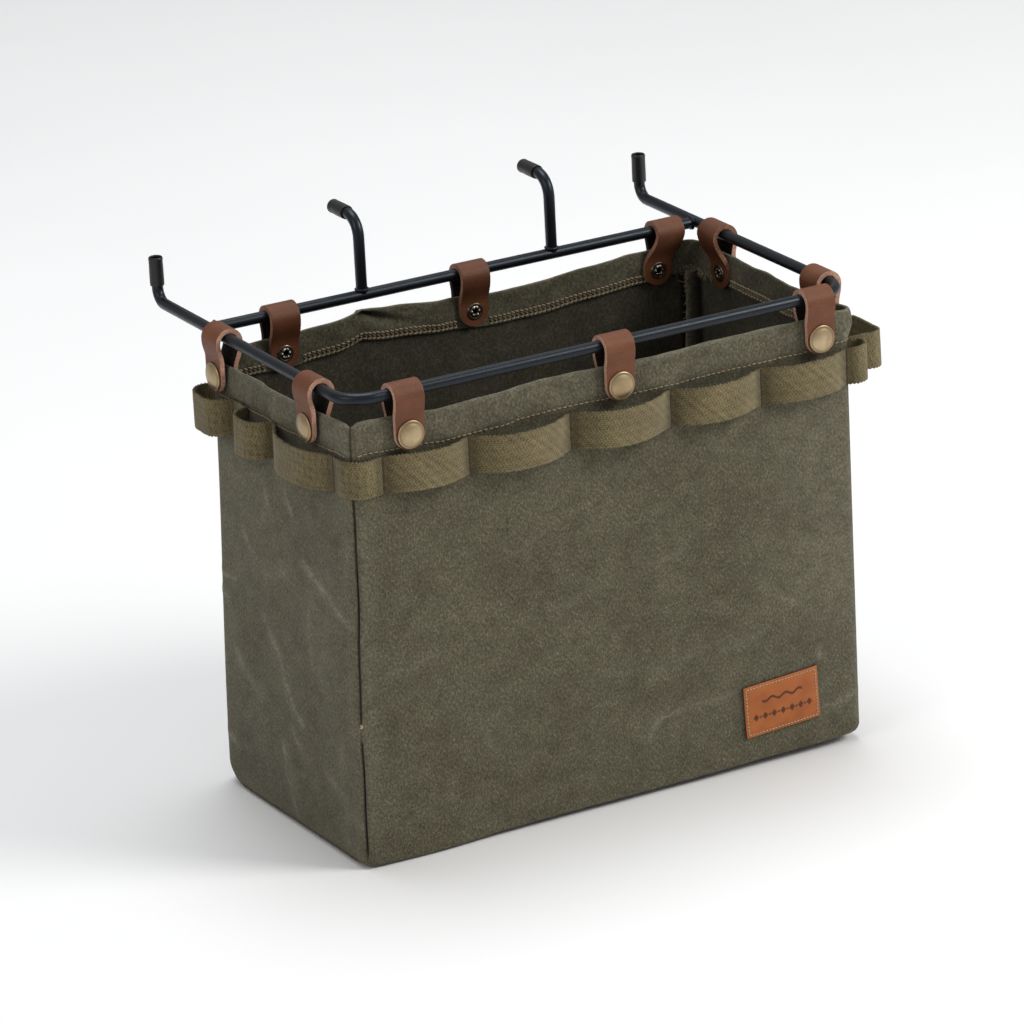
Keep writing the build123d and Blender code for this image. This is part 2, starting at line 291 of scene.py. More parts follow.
def leather_look(name, dark, mid, light, grain=0.9):
    """Oiled leather: fine grain, faint pull-up clouds, a few scratches, and darkening from the label's pressed motif
    and from painted shade on the straps' tails.
    """
    look = Look(name, 0.55, specular=0.32, coat=0.02)
    hide = look.attribute("hide", "Vector")
    clouds = look.noise(hide, 0.07, 3.0, 0.5)
    base = look.ramp(clouds, (0.25, dark), (0.5, mid), (0.8, light))
    base = look.toned(base, look.noise(hide, 1.3, 3.0, 0.65), (0.35, 0.86), (0.65, 1.08))
    scratch = look.noise(look.stretched(hide, (0.12, 1.6, 1.0), 0.5), 1.1, 2.0, 0.5)
    base = look.mix(look.ramp(scratch, (0.70, 0.0), (0.76, 0.25)), base, light)
    # Darkened by the label's pressed motif, and on the straps by a darker tone and painted shade
    base = look.mix(look.times(look.attribute("stamp"), 0.85), base, srgb(58, 30, 16))
    pores = look.put("ShaderNodeTexVoronoi", {"Vector": hide, "Scale": 1.5}, "Distance")
    height = look.plus(pores, look.noise(hide, 0.8, 4.0, 0.6))
    return look.finished(base, height, 0.0003 * grain, 0.35, look.ramp(clouds, (0.3, 0.5), (0.7, 0.6)))


def mottled(name, mottle, stops, grain, relief, gloss=None, hollow=None, tint=None, **surface):
    """Material with its colour, relief and roughness from noises in the object's own space.
    mottle and grain are settings of noises, relief is the bump's distance and strength, gloss is a noise's
    settings with two ramp stops, and hollow is the colour of the hollows."""
    look = Look(name, **surface)
    if tint:
        look.sockets["Specular Tint"].default_value = tint
    place = look.put("ShaderNodeTexCoord", {}, "Object")
    base = look.ramp(look.noise(place, *mottle), *stops)
    if hollow:
        base = look.mix(look.attribute("hollow"), base, hollow)
    rough = look.ramp(look.noise(place, *gloss[0]), *gloss[1:]) if gloss else None
    return look.finished(base, look.noise(place, *grain), *relief, rough)


def thread_look(name, dark, light):
    """Twisted cotton thread."""
    return mottled(name, (1400.0, 2.0, 0.6), [(0.3, dark), (0.7, light)], (2600.0, 2.0, 0.6), (0.0001, 0.6),
                   roughness=0.75, specular=0.3, sheen=0.2)


def raw_leather_look(name, dark, light, scale=900.0, roughness=0.85, specular=0.25, sheen=0.1):
    """Cut edge or napped inner face of the leather, fibrous."""
    fibre = (scale, 4.0, 0.7)
    return mottled(name, fibre, [(0.3, dark), (0.7, light)], fibre, (0.0004, 0.6),
                   roughness=roughness, specular=specular, sheen=sheen)


canvas = canvas_look()
webbing = webbing_look()
gold_thread = thread_look("gold_thread", srgb(118, 106, 75), srgb(166, 151, 113))
pale_thread = thread_look("pale_thread", srgb(104, 91, 69), srgb(156, 140, 112))
tack_thread = thread_look("tack_thread", srgb(44, 38, 27), srgb(74, 65, 46))
rung_thread = thread_look("rung_thread", srgb(86, 73, 54), srgb(130, 114, 88))
label_thread = thread_look("label_thread", srgb(150, 134, 104), srgb(200, 182, 148))
strap_leather = leather_look("strap_leather", srgb(88, 49, 26), srgb(104, 60, 35), srgb(118, 72, 45))
label_leather = leather_look("label_leather", srgb(148, 80, 36), srgb(166, 93, 43), srgb(178, 107, 56), 0.6)
leather_edge = raw_leather_look("leather_edge", srgb(148, 104, 84), srgb(204, 164, 142))
# A dimmer copy of the cut edge: painted shade for the rims of the rear inner tails
edge_painted_shade = raw_leather_look("leather_edge_dim", srgb(104, 68, 50), srgb(152, 110, 88))
label_edge = raw_leather_look("label_edge", srgb(44, 26, 16), srgb(78, 48, 30))
# Near-black flesh side: painted shade for the gaps inside the strap loops, also on the rear flaps' rims
leather_flesh = raw_leather_look("leather_flesh", srgb(24, 17, 13), srgb(48, 34, 26), 700.0, 0.95, 0.15, 0.05)
# Satin black powder coat with its fine orange peel
coated_steel = mottled(
    "powder_coat", (60.0, 3.0, 0.6), [(0.3, srgb(11, 13, 17)), (0.7, srgb(19, 22, 28))],
    (1500.0, 3.0, 0.6), (0.00012, 0.35), [(180.0, 3.0, 0.6), (0.3, 0.30), (0.7, 0.40)],
    tint=(0.78, 0.9, 1.0, 1.0), roughness=0.3, specular=0.36)
# Black dipped vinyl, softly glossy with a fine grain
vinyl = mottled(
    "vinyl", (220.0, 3.0, 0.6), [(0.3, srgb(9, 9, 10)), (0.7, srgb(18, 18, 20))],
    (700.0, 3.0, 0.6), (0.0003, 0.4), [(120.0, 2.0, 0.6), (0.3, 0.38), (0.7, 0.52)],
    roughness=0.42, specular=0.45, coat=0.05)
# Antique brass with darker patina in its hollows and fine rubbing marks
brass = mottled(
    "antique_brass", (130.0, 3.0, 0.5, 0.3),
    [(0.3, srgb(158, 138, 106)), (0.55, srgb(172, 152, 119)), (0.75, srgb(184, 165, 133))],
    (900.0, 3.0, 0.6), (0.0001, 0.3), [(130.0, 3.0, 0.5, 0.3), (0.3, 0.44), (0.7, 0.36)],
    hollow=srgb(92, 70, 46), roughness=0.36, metallic=1.0)
# Black nickel of the snap's hidden parts, rubbed brighter on its high spots, with painted shade, near black, in the
# hole at each washer's middle
dark_metal = mottled(
    "black_nickel", (500.0, 3.0, 0.6), [(0.35, srgb(78, 70, 62)), (0.7, srgb(146, 136, 122))],
    (1600.0, 2.0, 0.6), (0.0001, 0.3), [(500.0, 3.0, 0.6), (0.3, 0.45), (0.7, 0.28)],
    hollow=srgb(8, 7, 6), roughness=0.34, metallic=1.0)
floor_look = mottled(
    "floor", (3.0, 2.0), [(0.3, 0.90), (0.7, 0.92)], (200.0, 2.0), (0.0001, 0.1), roughness=0.9, specular=0.1)


# ---------------- mesh helpers


def link(name, data):
    item = bpy.data.objects.new(name, data)
    bpy.context.scene.collection.objects.link(item)
    return item


def raw_mesh(name, points, faces, materials):
    mesh = bpy.data.meshes.new(name)
    mesh.from_pydata((np.asarray(points, float).reshape(-1, 3) * MM).tolist(), [], faces)
    for material in materials:
        mesh.materials.append(material)
    return mesh


def make_piece(name, points, faces, materials, slot, replaces=(), body=ROOT, sharp=None, outward=False):
    """Mesh object from points in mm, riding on a body; outward turns its faces to look out."""
    mesh = raw_mesh(name, points, faces, materials)
    mesh.validate()
    mesh.shade_smooth()
    if sharp is not None:
        mesh.set_sharp_from_angle(angle=math.radians(sharp))
    piece = link(name, mesh)
    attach(piece, body)
    if replaces:
        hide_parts(*replaces)
    if outward:
        turn_outward(mesh)
    return piece


def turn_outward(mesh):
    work = bmesh.new()
    work.from_mesh(mesh)
    bmesh.ops.recalc_face_normals(work, faces=work.faces)
    work.to_mesh(mesh)
    work.free()


def paint(piece, domain="POINT", **fields):
    """Attributes for the materials: cloth and hide are places on the sheet, the others plain numbers."""
    for name, values in fields.items():
        kind, key = ("FLOAT_VECTOR", "vector") if name in ("cloth", "hide") else ("FLOAT", "value")
        layer = piece.data.attributes.new(name, kind, domain)
        layer.data.foreach_set(key, np.asarray(values, np.float32).ravel())


def vectors(*parts):
    """Vectors from three fields."""
    return np.stack(np.broadcast_arrays(*parts), -1)


def face_corners(field):
    """Values at the four corners of each cell between the points of a grid."""
    return np.stack([field[:-1, :-1], field[1:, :-1], field[1:, 1:], field[:-1, 1:]], 2)


def grid_faces(nu, nv, wrap_u=False, wrap_v=False):
    index = np.pad(np.arange(nu * nv).reshape(nu, nv), ((0, int(wrap_u)), (0, int(wrap_v))), "wrap")
    return face_corners(index).reshape(-1, 4)


def grid_solid(points, wrap_u=False):
    """Points and faces of a tube grid, with its ends closed unless it wraps."""
    nu, nv = points.shape[:2]
    faces = grid_faces(nu, nv, wrap_u, True)[:, ::-1].tolist()
    if not wrap_u:
        faces.append(list(range(nv)))
        faces.append(list(range(nu * nv - 1, nu * nv - nv - 1, -1)))
    return points.reshape(-1, 3), faces


def joined(parts):
    """One point list and face list from several."""
    points, faces, first = [], [], 0
    for some_points, some_faces in parts:
        points.append(some_points)
        faces += [[first + k for k in face] for face in some_faces]
        first += len(some_points)
    return np.vstack(points), faces


def unit(v):
    return v / np.linalg.norm(v, axis=-1, keepdims=True)


def bent_path(points, radii, turn=math.radians(7)):
    """Straight runs between the points, with each inner corner rounded to its own radius."""
    points = [np.array(p, float) for p in points]
    path = [points[0]]
    for k, radius in enumerate(radii):
        corner = points[k + 1]
        before, after = unit(points[k] - corner), unit(points[k + 2] - corner)
        half = math.acos(float(np.clip(before @ after, -1, 1))) / 2
        centre = corner + unit(before + after) * radius / math.sin(half)
        first = corner + before * radius / math.tan(half) - centre
        last = corner + after * radius / math.tan(half) - centre
        sweep = math.pi - 2 * half
        steps = max(3, int(math.ceil(sweep / turn)))
        for t in np.linspace(0, 1, steps + 1):
            a, b = math.sin((1 - t) * sweep), math.sin(t * sweep)
            path.append(centre + (first * a + last * b) / math.sin(sweep))
    path.append(points[-1])
    return np.array(path)


def arc_lengths(path):
    return np.concatenate([[0], np.cumsum(np.linalg.norm(np.diff(path, axis=0), axis=1))])


def resampled(path, step):
    """The path with points a step apart."""
    lengths = arc_lengths(path)
    count = max(2, int(round(lengths[-1] / step)))
    at = np.linspace(0, lengths[-1], count + 1)
    return np.stack([np.interp(at, lengths, path[:, k]) for k in range(path.shape[1])], 1)


def path_tangents(path):
    steps = unit(np.diff(path, axis=0))
    return unit(np.vstack([steps, steps[-1:]]) + np.vstack([steps[:1], steps]))


def circle(a, b, sides):
    """Directions round a circle between two perpendicular directions, which may be lists of them."""
    angles = (np.arange(sides) * math.tau / sides)[:, None]
    return np.asarray(a)[..., None, :] * np.cos(angles) + np.asarray(b)[..., None, :] * np.sin(angles)


def tube_points(path, radii, sides=28, hint=(0.3, 0.2, 1.0)):
    """Grid of points round a path; radii is one number or one for each point."""
    tangents = path_tangents(path)
    across = []
    side = np.array(hint, float)
    for tangent in tangents:
        side = unit(side - (side @ tangent) * tangent)
        across.append(side)
    radii = np.broadcast_to(np.asarray(radii, float), (len(path),))
    return path[:, None] + circle(across, np.cross(tangents, across), sides) * radii[:, None, None]


def rounded_rod(path, radius, crown=0.45):
    """Rod with softly rounded ends."""
    start, end = path[0], path[-1]
    ease = np.array([0.0, 0.3, 0.7, 1.0])[:, None] * crown
    shrink = crown - np.sqrt(np.maximum(crown ** 2 - (crown - ease[:, 0]) ** 2, 0))
    head = start + unit(path[1] - start) * ease
    tail = end - unit(end - path[-2]) * ease[::-1]
    radii = np.concatenate([radius - shrink, np.full(len(path) - 2, radius), (radius - shrink)[::-1]])
    return grid_solid(tube_points(np.vstack([head, path[1:-1], tail]), radii))


def lathe(profile, origin, axis, sides, wobble=None):
    """Grid of a turned shape; the profile is (radius, height along the axis)."""
    axis = np.array(axis, float)
    side = unit(np.cross(axis, UP if abs(axis @ UP) < 0.9 else np.array([1.0, 0, 0])))
    radius, height = np.array(profile, float).T[..., None]
    if wobble:
        height = height + wobble(radius, np.arange(sides) * math.tau / sides)
    return origin + circle(side, np.cross(axis, side), sides) * radius[..., None] + axis * height[..., None]


# ---------------- the bag's outline

# Places of the straps, by name: point on the rod's middle line, outward direction, hinge and moving body
straps = {}
for joint in frame["joints"]:
    hinge = np.array(joint["pos_m"], float) / MM
    outward = np.cross(UP, np.array(joint["axis"], float))
    origin = hinge - outward * (loop_r + strap_t)
    origin[2] = ring_z
    straps[joint["name"].replace("open_", "")] = (origin, outward, hinge, joint["child"])

run_x = 2 * (bag_x - corner_r)
run_y = 2 * (bag_y - corner_r)
arc = math.pi / 2 * corner_r
girth = 2 * run_x + 2 * run_y + 4 * arc

# The walls in order round the bag from the front left corner: distance round where the flat run starts, its
# length, its heading, the wall's outward direction and its distance from the middle
walls = {}
run_start = arc / 2
for wall, run, heading, outward, reach in (
        ("front", run_x, (1.0, 0.0), (0.0, -1.0), bag_y), ("right", run_y, (0.0, 1.0), (1.0, 0.0), bag_x),
        ("back", run_x, (-1.0, 0.0), (0.0, 1.0), bag_y), ("left", run_y, (0.0, -1.0), (-1.0, 0.0), bag_x)):
    walls[wall] = (run_start, run, np.array(heading), np.array(outward), reach)
    run_start += run + arc
wall_start = {wall: sizes[0] for wall, sizes in walls.items()}
corner_before = {wall: start - arc / 2 for wall, start in wall_start.items()}
rear_seam_s = corner_before["back"]


def around(wall, along):
    """Distance round the bag for a place along a wall, in that wall's own x or y."""
    start, run, heading = walls[wall][:3]
    return start + run / 2 + heading.sum() * along


def outline(s):
    """Place and outward direction on the bag's rounded outline, for distances round it."""
    s = np.asarray(s, float)[..., None]
    place = out = np.zeros(s.shape[:-1] + (2,))
    for start, run, heading, outward, reach in walls.values():
        t = np.mod(s - start, girth)
        angle = (t - run) / corner_r
        bend = np.cos(angle) * outward + np.sin(angle) * heading
        corner = outward * (reach - corner_r) + heading * run / 2
        here, straight = t < run + arc + 1e-9, t <= run
        flat = outward * reach + heading * (t - run / 2)
        place = np.where(here, np.where(straight, flat, corner + bend * corner_r), place)
        out = np.where(here, np.where(straight, outward, bend), out)
    return place, out


def round_distance(s, to):
    """Shortest distance round the bag between two places."""
    gap = np.abs(np.mod(np.asarray(s, float) - to, girth))
    return np.minimum(gap, girth - gap)


# Height of the hem's top edge above the nominal top, along each wall
hem_wave = {
    "front": [(-143, -2.0), (-134, -1.6), (-101, -3.9), (-61, -3.1), (-26, -1.4), (21, -2.7), (56, -2.1), (92, -2.0),
              (116, -2.1), (142, -0.6)],
    "right": [(-60, -1.5), (-20, -3.2), (20, -1.4), (66, -1.2)],
    "back": [(136, 0.4), (111, -1.0), (86, -1.6), (55, -4.9), (25, -5.4), (-5, -3.2), (-35, -0.2), (-60, 0.6),
             (-77, -1.8), (-100, -3.4), (-132, -2.8)],
    "left": [(66, -6.2), (32, -5.8), (0, -5.6), (-23, -5.4), (-44, -3.9), (-66, -2.8)],
}
hem_at, hem_height = np.array(sorted(
    (around(wall, along), rise) for wall, knots in hem_wave.items() for along, rise in knots)).T
pleat_s = around("back", -60)


def hem_rise(s):
    """Height of the hem's top edge above the nominal top, with the pleat's peak and the seam's dip."""
    s = np.mod(np.asarray(s, float), girth)
    offsets = np.arange(-9.0, 10.0, 3.0)
    weights = hump(offsets, 6.0)
    total = 0.35 * ripples(s, 0.0, 4, 16, 40) * smooth(0, 12, round_distance(s, 0))
    for offset, weight in zip(offsets, weights / weights.sum()):
        total = total + weight * np.interp(s + offset, hem_at, hem_height, period=girth)
    return total + 2.6 * np.exp(-np.abs(s - pleat_s) / 7.0) - 1.9 * hump(round_distance(s, 0), 2.6)


strap_s = []
for name, (origin, *_) in straps.items():
    wall = name.split("_")[0]
    strap_s.append(around(wall, origin[:2] @ np.abs(walls[wall][2])))


def far_from(s, places, low, high):
    """0 within the low distance of any of the places, 1 beyond the high one."""
    return np.prod([smooth(low, high, round_distance(s, at)) for at in places], axis=0)


def corner_mask(s):
    """0 at the four corners, 1 along the walls."""
    return far_from(s, corner_before.values(), 2, 26)


# Rubbed crease lines on each wall: start and end as (along the wall, height), and strength
creases = {
    "left": [
        (74, 119, 57, 117, 0.7), (76, 110, 65, 105, 0.9), (-22, 150, -48, 141, 1.0), (-48, 141, -72, 129, 0.6),
        (24, 108, 7, 91, 0.6), (7, 91, -7, 68, 0.7), (-7, 68, -19, 60, 0.8), (-25, 128, -27, 96, 0.6),
        (72, 29, 62, 26, 0.9), (7, 44, -4, 5, 0.9), (-4, 54, -12, 46, 0.7), (-58, 66, -59, 8, 0.4),
        (18, 182, 13, 168, 0.6), (-3, 184, -11, 172, 0.7), (43, 150, 33, 139, 0.5), (34, 132, -2, 138, 0.4),
        (60, 84, 30, 62, 0.4), (-36, 44, -60, 34, 0.4)],
    "front": [
        (22, 40, 15, 30, 0.61), (22, 40, 39, 43, 0.54), (39, 43, 70, 44, 0.41), (120, 57, 121, 50, 0.61),
        (121, 21, 146, 25, 0.61), (17, 128, 41, 130, 0.24), (59, 69, 85, 75, 0.34), (19, 69, 59, 76, 0.27),
        (-132, 103, -105, 108, 0.31), (-84, 70, -72, 45, 0.27), (-38, 117, -15, 121, 0.24),
        (86, 100, 120, 82, 0.34), (134, 78, 146, 60, 0.41), (100, 130, 128, 118, 0.27),
        (-60, 150, -34, 162, 0.2)],
    "back": [
        (-100, 120, -60, 96, 0.7), (-40, 60, 10, 48, 0.6), (60, 140, 96, 108, 0.7), (104, 40, 88, 12, 0.6),
        (-128, 60, -118, 20, 0.5), (20, 160, 36, 132, 0.4)],
    "right": [
        (-50, 130, -20, 112, 0.8), (10, 84, 40, 60, 0.7), (-30, 50, -8, 20, 0.6), (30, 150, 56, 138, 0.6),
        (50, 30, 64, 14, 0.6)],
}


def crease_field(s, z, width):
    """Strongest of the crease lines at each place, strongest along the middle of a line."""
    total = np.zeros(np.broadcast(s, z).shape)
    for wall, lines in creases.items():
        for a0, z0, a1, z1, strength in lines:
            s0 = around(wall, a0)
            run_s, run_z = around(wall, a1) - s0, z1 - z0
            length = math.hypot(run_s, run_z)
            t = np.clip(((s - s0) * run_s + (z - z0) * run_z) / length ** 2, 0, 1)
            bow = 0.05 * length * np.sin(math.pi * t)
            gap = np.hypot(s - s0 - t * run_s + bow * 0.6, z - z0 - t * run_z + bow)
            ends = 0.35 + 0.65 * np.sin(math.pi * (0.15 + 0.7 * t))
            total = np.maximum(total, strength * hump(gap, width) * ends)
    return total


# ---------------- the bag's shell


def seam_depth(z):
    """How open the front left corner seam is at each height: 0 where its knot pulls it shut."""
    low, high = seam_knot_z
    shut = smooth(low - 4, low, z) * fade(high, high + 3, z)
    return (1 - 0.85 * shut) * smooth(2, 12, z) * (1 - 0.5 * smooth(210, 224, z))


def seam_line(z):
    """Wander of the front left seam about the corner."""
    return 0.3 * np.sin(z / 19.0) + 0.15 * np.sin(z / 7.3 + 1.0)


def foot_rounding(s):
    """Radius that turns the walls under at the bottom: small on the runs, larger at the soft corners."""
    soft = {"right": 3.2, "back": 7.0, "left": 11.0, "front": 1.5}
    return 1.7 + sum(size * hump(round_distance(s, corner_before[wall]), 9.5) for wall, size in soft.items())


def left_share(s):
    """1 on the left wall, fading to 0 round its two corners."""
    s = np.mod(np.asarray(s, float), girth)
    start = wall_start["left"]
    return smooth(start - arc, start + 4, s) * fade(girth - arc / 2 - 3, girth, s)


def rear_pleat(s, z):
    """Pleat in the rear hem: a bulge into the bag, and a valley that runs down from its peak to the right."""
    right_of = pleat_s - s
    on_back = (s > wall_start["back"]) & (s < wall_start["back"] + run_x)
    above = z - (bag_h - 1.6 - 0.30 * right_of)
    along = hump(right_of, np.where(right_of > 0, 24.0, 4.0))
    valley = hump(above, 2.4) * along * fade(bag_h - 3.0, bag_h - 0.5, z)
    bulge = np.exp(-np.where(right_of > 0, right_of / 7.0, -right_of / 20.0) ** 2) * smooth(220, 232, z)
    return (pleat_depth * valley - 3.4 * bulge * (1 - valley)) * on_back


def bottom_lift(x, y):
    """The hanging bag's underside is not quite level."""
    front = 0.8 + 3.0 * (x + bag_x) / (2 * bag_x) - 1.1 * hump(x + 105.0, 28.0) - 0.5 * hump(x - 40.0, 30.0)
    return front * fade(-bag_y, bag_y, y)


def cloth_point(s, z, inset, surface=1.0):
    """Point on the bag's cloth, in mm, at a distance round, a height and an inset from its outside.
    surface is 1 on the outside and 0 on the inside, where seams and stitches don't dent it."""
    s, z, inset, surface = np.broadcast_arrays(*[np.asarray(q, float) for q in (s, z, inset, surface)])
    place, out = outline(s)
    below_hem = fade(*wall_zone, z)
    walls_only = corner_mask(s)
    swell = 1.3 * ripples(s, z, 11, 90, 200) + 0.55 * ripples(s, z, 12, 34, 70)
    belly = np.sin(math.pi * np.clip(z / 200, 0, 1)) * np.where(np.abs(out[..., 1]) > 0.99, 1.6, 1.2)
    push = below_hem * walls_only * (swell * (0.35 + 0.65 * smooth(0, 60, z)) + belly)
    push = push + below_hem * 0.35 * crease_field(s, z, 2.2)
    wander = 1.5 * ripples(s, z * 0.5, 21, 40, 110) + 0.5 * ripples(s, z, 22, 9, 24)
    wander = wander * smooth(2, 18, round_distance(s, 0)) * far_from(s, strap_s, *free_of_strap)
    push = push + smooth(*hem_zone, z) * wander + rear_pleat(s, z)
    push = push + 1.5 * hump(round_distance(s, corner_before["right"]), 9.0) * smooth(220, 230, z)
    groove = hump(round_distance(s, seam_line(z)), 0.65) * seam_depth(z)
    rear = hump(s - rear_seam_s - 0.3 * np.sin(z / 15.0), 0.8)
    groove = groove + 0.8 * rear * smooth(3, 12, z) * fade(214, 222, z)
    left_lip = np.where(s > girth / 2, np.exp(-(girth - s) / 2.2), 0) * seam_depth(z) * smooth(3, 8, z)
    push = push - (1.2 * groove + 0.5 * left_lip) * surface
    round_r = foot_rounding(s)
    push = push - round_r * (1 - np.sqrt(1 - np.clip(1 - z / round_r, 0, 1) ** 2))
    at = place + out * (push - inset)[..., None]
    flare = fade(0, 225, z)
    x, y = place[..., 0], place[..., 1]
    at[..., 0] -= left_flare * flare * fade(-bag_x, -bag_x + left_flare_reach, x)
    at[..., 1] += rear_flare * flare * smooth(10, bag_y, y)
    rise = bottom_lift(x, y) * fade(0, 120, z) + hem_rise(s) * smooth(*rise_zone, z)
    return np.concatenate([at, (z + rise)[..., None]], -1)


def shell_columns():
    """Distances round the bag, closer together at the corners and at the front left seam."""
    by_seam = np.array([0.25, 0.5, 0.8, 1.2, 1.8, 2.6, 3.5, 4.5])
    columns = [[0.0], by_seam]
    for wall, step in (("front", 2.0), ("right", 2.6), ("back", 1.7), ("left", 1.5)):
        start, run = walls[wall][:2]
        columns.append(np.linspace(start, start + run, int(run / step) + 1))
        if wall != "left":
            columns.append(start + run + np.linspace(0, arc, 21 if wall == "right" else 11)[1:-1])
    return np.concatenate(columns + [girth - by_seam[::-1]])


def shell_rows():
    """Insets, heights and outside shares of the wall's rows, from its outer foot over the hem to its inner foot."""
    foot = [(0.95, 0.3), (0.45, 0.33), (0.1, 0.7), (0.0, 1.3), (0.0, 2.0), (0.0, 3.0)]
    wall = [(0.0, z) for z in (*np.linspace(4.4, 196, 93), *np.linspace(198.5, 221, 9))]
    hem_outside = [(0.02, -0.3), (0.3, 0.2), (0.34, 0.8), (0.02, 1.5), (-0.28, 3.0), (-0.36, 6.0), (-0.34, 9.0),
                   (-0.28, 12.0), (-0.15, 14.4), (0.1, 15.9), (0.5, 16.9)]
    outer = foot + wall + [(inset, fold_z + z) for inset, z in hem_outside]
    top = [(1.0, bag_h - 0.1)]
    inner = [(1.5, bag_h), (2.0, bag_h - 0.12), (2.5, bag_h - 0.6), (2.78, bag_h - 1.5)]
    inner += [(2.85, z) for z in np.linspace(bag_h - 2.6, fold_z + 5.4, 11)]
    hem_inside = [(2.72, 4.5), (2.66, 4.1), (2.82, 3.4), (2.82, 2.5), (2.66, 1.7), (2.74, 1.2), (2.8, 0.5),
                  (2.7, 0.0), (2.3, -0.25), (1.75, -0.1), (canvas_t, -0.5)]
    inner += [(inset, fold_z + z) for inset, z in hem_inside]
    inner += [(canvas_t, z) for z in (*np.linspace(fold_z - 3, base_t + 3, 45), 0.35)]
    inset, z = np.array(outer + top + inner).T
    return inset, z, np.repeat([1, 0.5, 0], [len(outer), len(top), len(inner)])


def strongest(*fields):
    """The largest of the fields at each place."""
    total = fields[0]
    for field in fields[1:]:
        total = np.maximum(total, field)
    return total


def bag_shell():
    columns = shell_columns()
    inset, z, surface = shell_rows()
    run = np.concatenate([[0], np.cumsum(np.hypot(np.diff(inset), np.diff(z)))])
    cloth = vectors(np.append(columns, girth)[:, None], np.append(run, run[-1] + 0.5)[None],
                    np.append(inset, inset[0])[None] * 3)
    s, inset, z, surface = columns[:, None], inset[None], z[None], surface[None]
    points = cloth_point(s, z + left_foot * left_share(s) * fade(1, 14, z), inset, surface)
    piece = make_piece("bag_shell", points, grid_faces(*points.shape[:2], True, True).tolist(), [canvas],
                       "olive_canvas", ["canvas_front", "canvas_back", "canvas_left", "canvas_right"])
    paint(piece, "CORNER", cloth=face_corners(cloth))

    outside = surface > 0.4
    inside = 1 - outside
    below_fold = z < fold_z
    creased = (crease_field(s, z, 1.2) + 0.5 * crease_field(s, z, 4.5)) * outside
    top_edge = 0.8 * hump(z - bag_h, 1.5) * (inset < 2.3) * (z > 230)
    hem_band = 0.12 * smooth(222, 226, z) * outside * (inset < 2)
    corners = 0.25 * (1 - corner_mask(s)) ** 6 * outside * smooth(4, 20, z)
    # Painted light: a broad paler patch towards the right end of the front wall
    painted_light_front_right = 0.34 * hump(s - around("front", 132), 30.0) * outside * smooth(20, 120, z)

    # Painted shade in the front left seam's groove and along the rear right seam
    seam = 1.3 * hump(round_distance(s, seam_line(z)), 0.62) * seam_depth(z) * outside
    rear_seam = 0.7 * hump(s - rear_seam_s, 0.9) * smooth(5, 14, z) * outside * (z < 220)
    # Painted shadow on the wall under the webbing's top edge
    under_web = 0.3 * smooth(216, 219, z) * fade(222.2, 223.5, z) * outside
    # Painted shade inside the bag, darker towards the bottom
    interior = 0.54 * inside * below_fold + 0.3 * inside * fade(60, 225, z)
    # Painted shadow on the back wall in the nook beside the rear right seam edge
    nook = hump(s - wall_start["back"] - nook_offset, 3.6) * inside * below_fold
    # Painted shade in the valley of the rear hem's pleat
    valley = 0.8 * np.clip(rear_pleat(s, z) / pleat_depth, 0, 1) * (z > 224) * (inset > 1.4)
    # Painted shade on the hem's inner face
    hem_inside = 0.2 * (inset > 2.4) * (z > fold_z)
    # Painted shade on the left wall, darker towards the bottom
    painted_side_shade = 0.09 * left_share(s) * fade(15, 130, z) * outside
    hollows = strongest(interior, nook, hem_inside, valley) + painted_side_shade
    # The pale field holds wear and the painted light patch; the dark field holds all the painted shade
    paint(piece, rub=strongest(creased, top_edge, hem_band, corners, painted_light_front_right),
          shade=np.clip(strongest(seam, rear_seam, under_web, hollows), 0, 1))


def bag_base():
    """The bottom panel: a sagging slab that shows as a lip under the left wall and sits inside the others."""
    s = shell_columns()
    rings = [cloth_point(s, z, 1.6 - 1.3 * left_share(s), 0.0) for z in (2.15, 1.5, 0.8, 0.3)]
    fractions = (0.985, 0.94, 0.85, 0.7, 0.5, 0.3, 0.12)
    upper = [sheet_ring(rings[0], fraction, base_t + 0.1) for fraction in fractions[::-1]]
    lower = [sheet_ring(rings[-1], fraction, 0.1) for fraction in fractions]
    points, faces = grid_solid(np.array(upper + rings + lower))
    piece = make_piece("bag_base", points, faces, [canvas], "olive_canvas", ["canvas_base"], sharp=60, outward=True)
    # Painted shade: the whole bottom panel is darkened as its shaded underside
    paint(piece, cloth=points, rub=np.zeros(len(points)), shade=np.full(len(points), 0.22))


def sheet_ring(ring, fraction, height):
    """A smaller copy of an edge ring, at the height of the slightly uneven bottom panel."""
    x, y = ring[:, 0] * fraction, ring[:, 1] * fraction
    wave = 0.4 * ripples(x, y, 31, 60, 120) + 0.4
    return vectors(x, y, bottom_lift(x, y) + height + wave * smooth(1, 0.85, fraction))


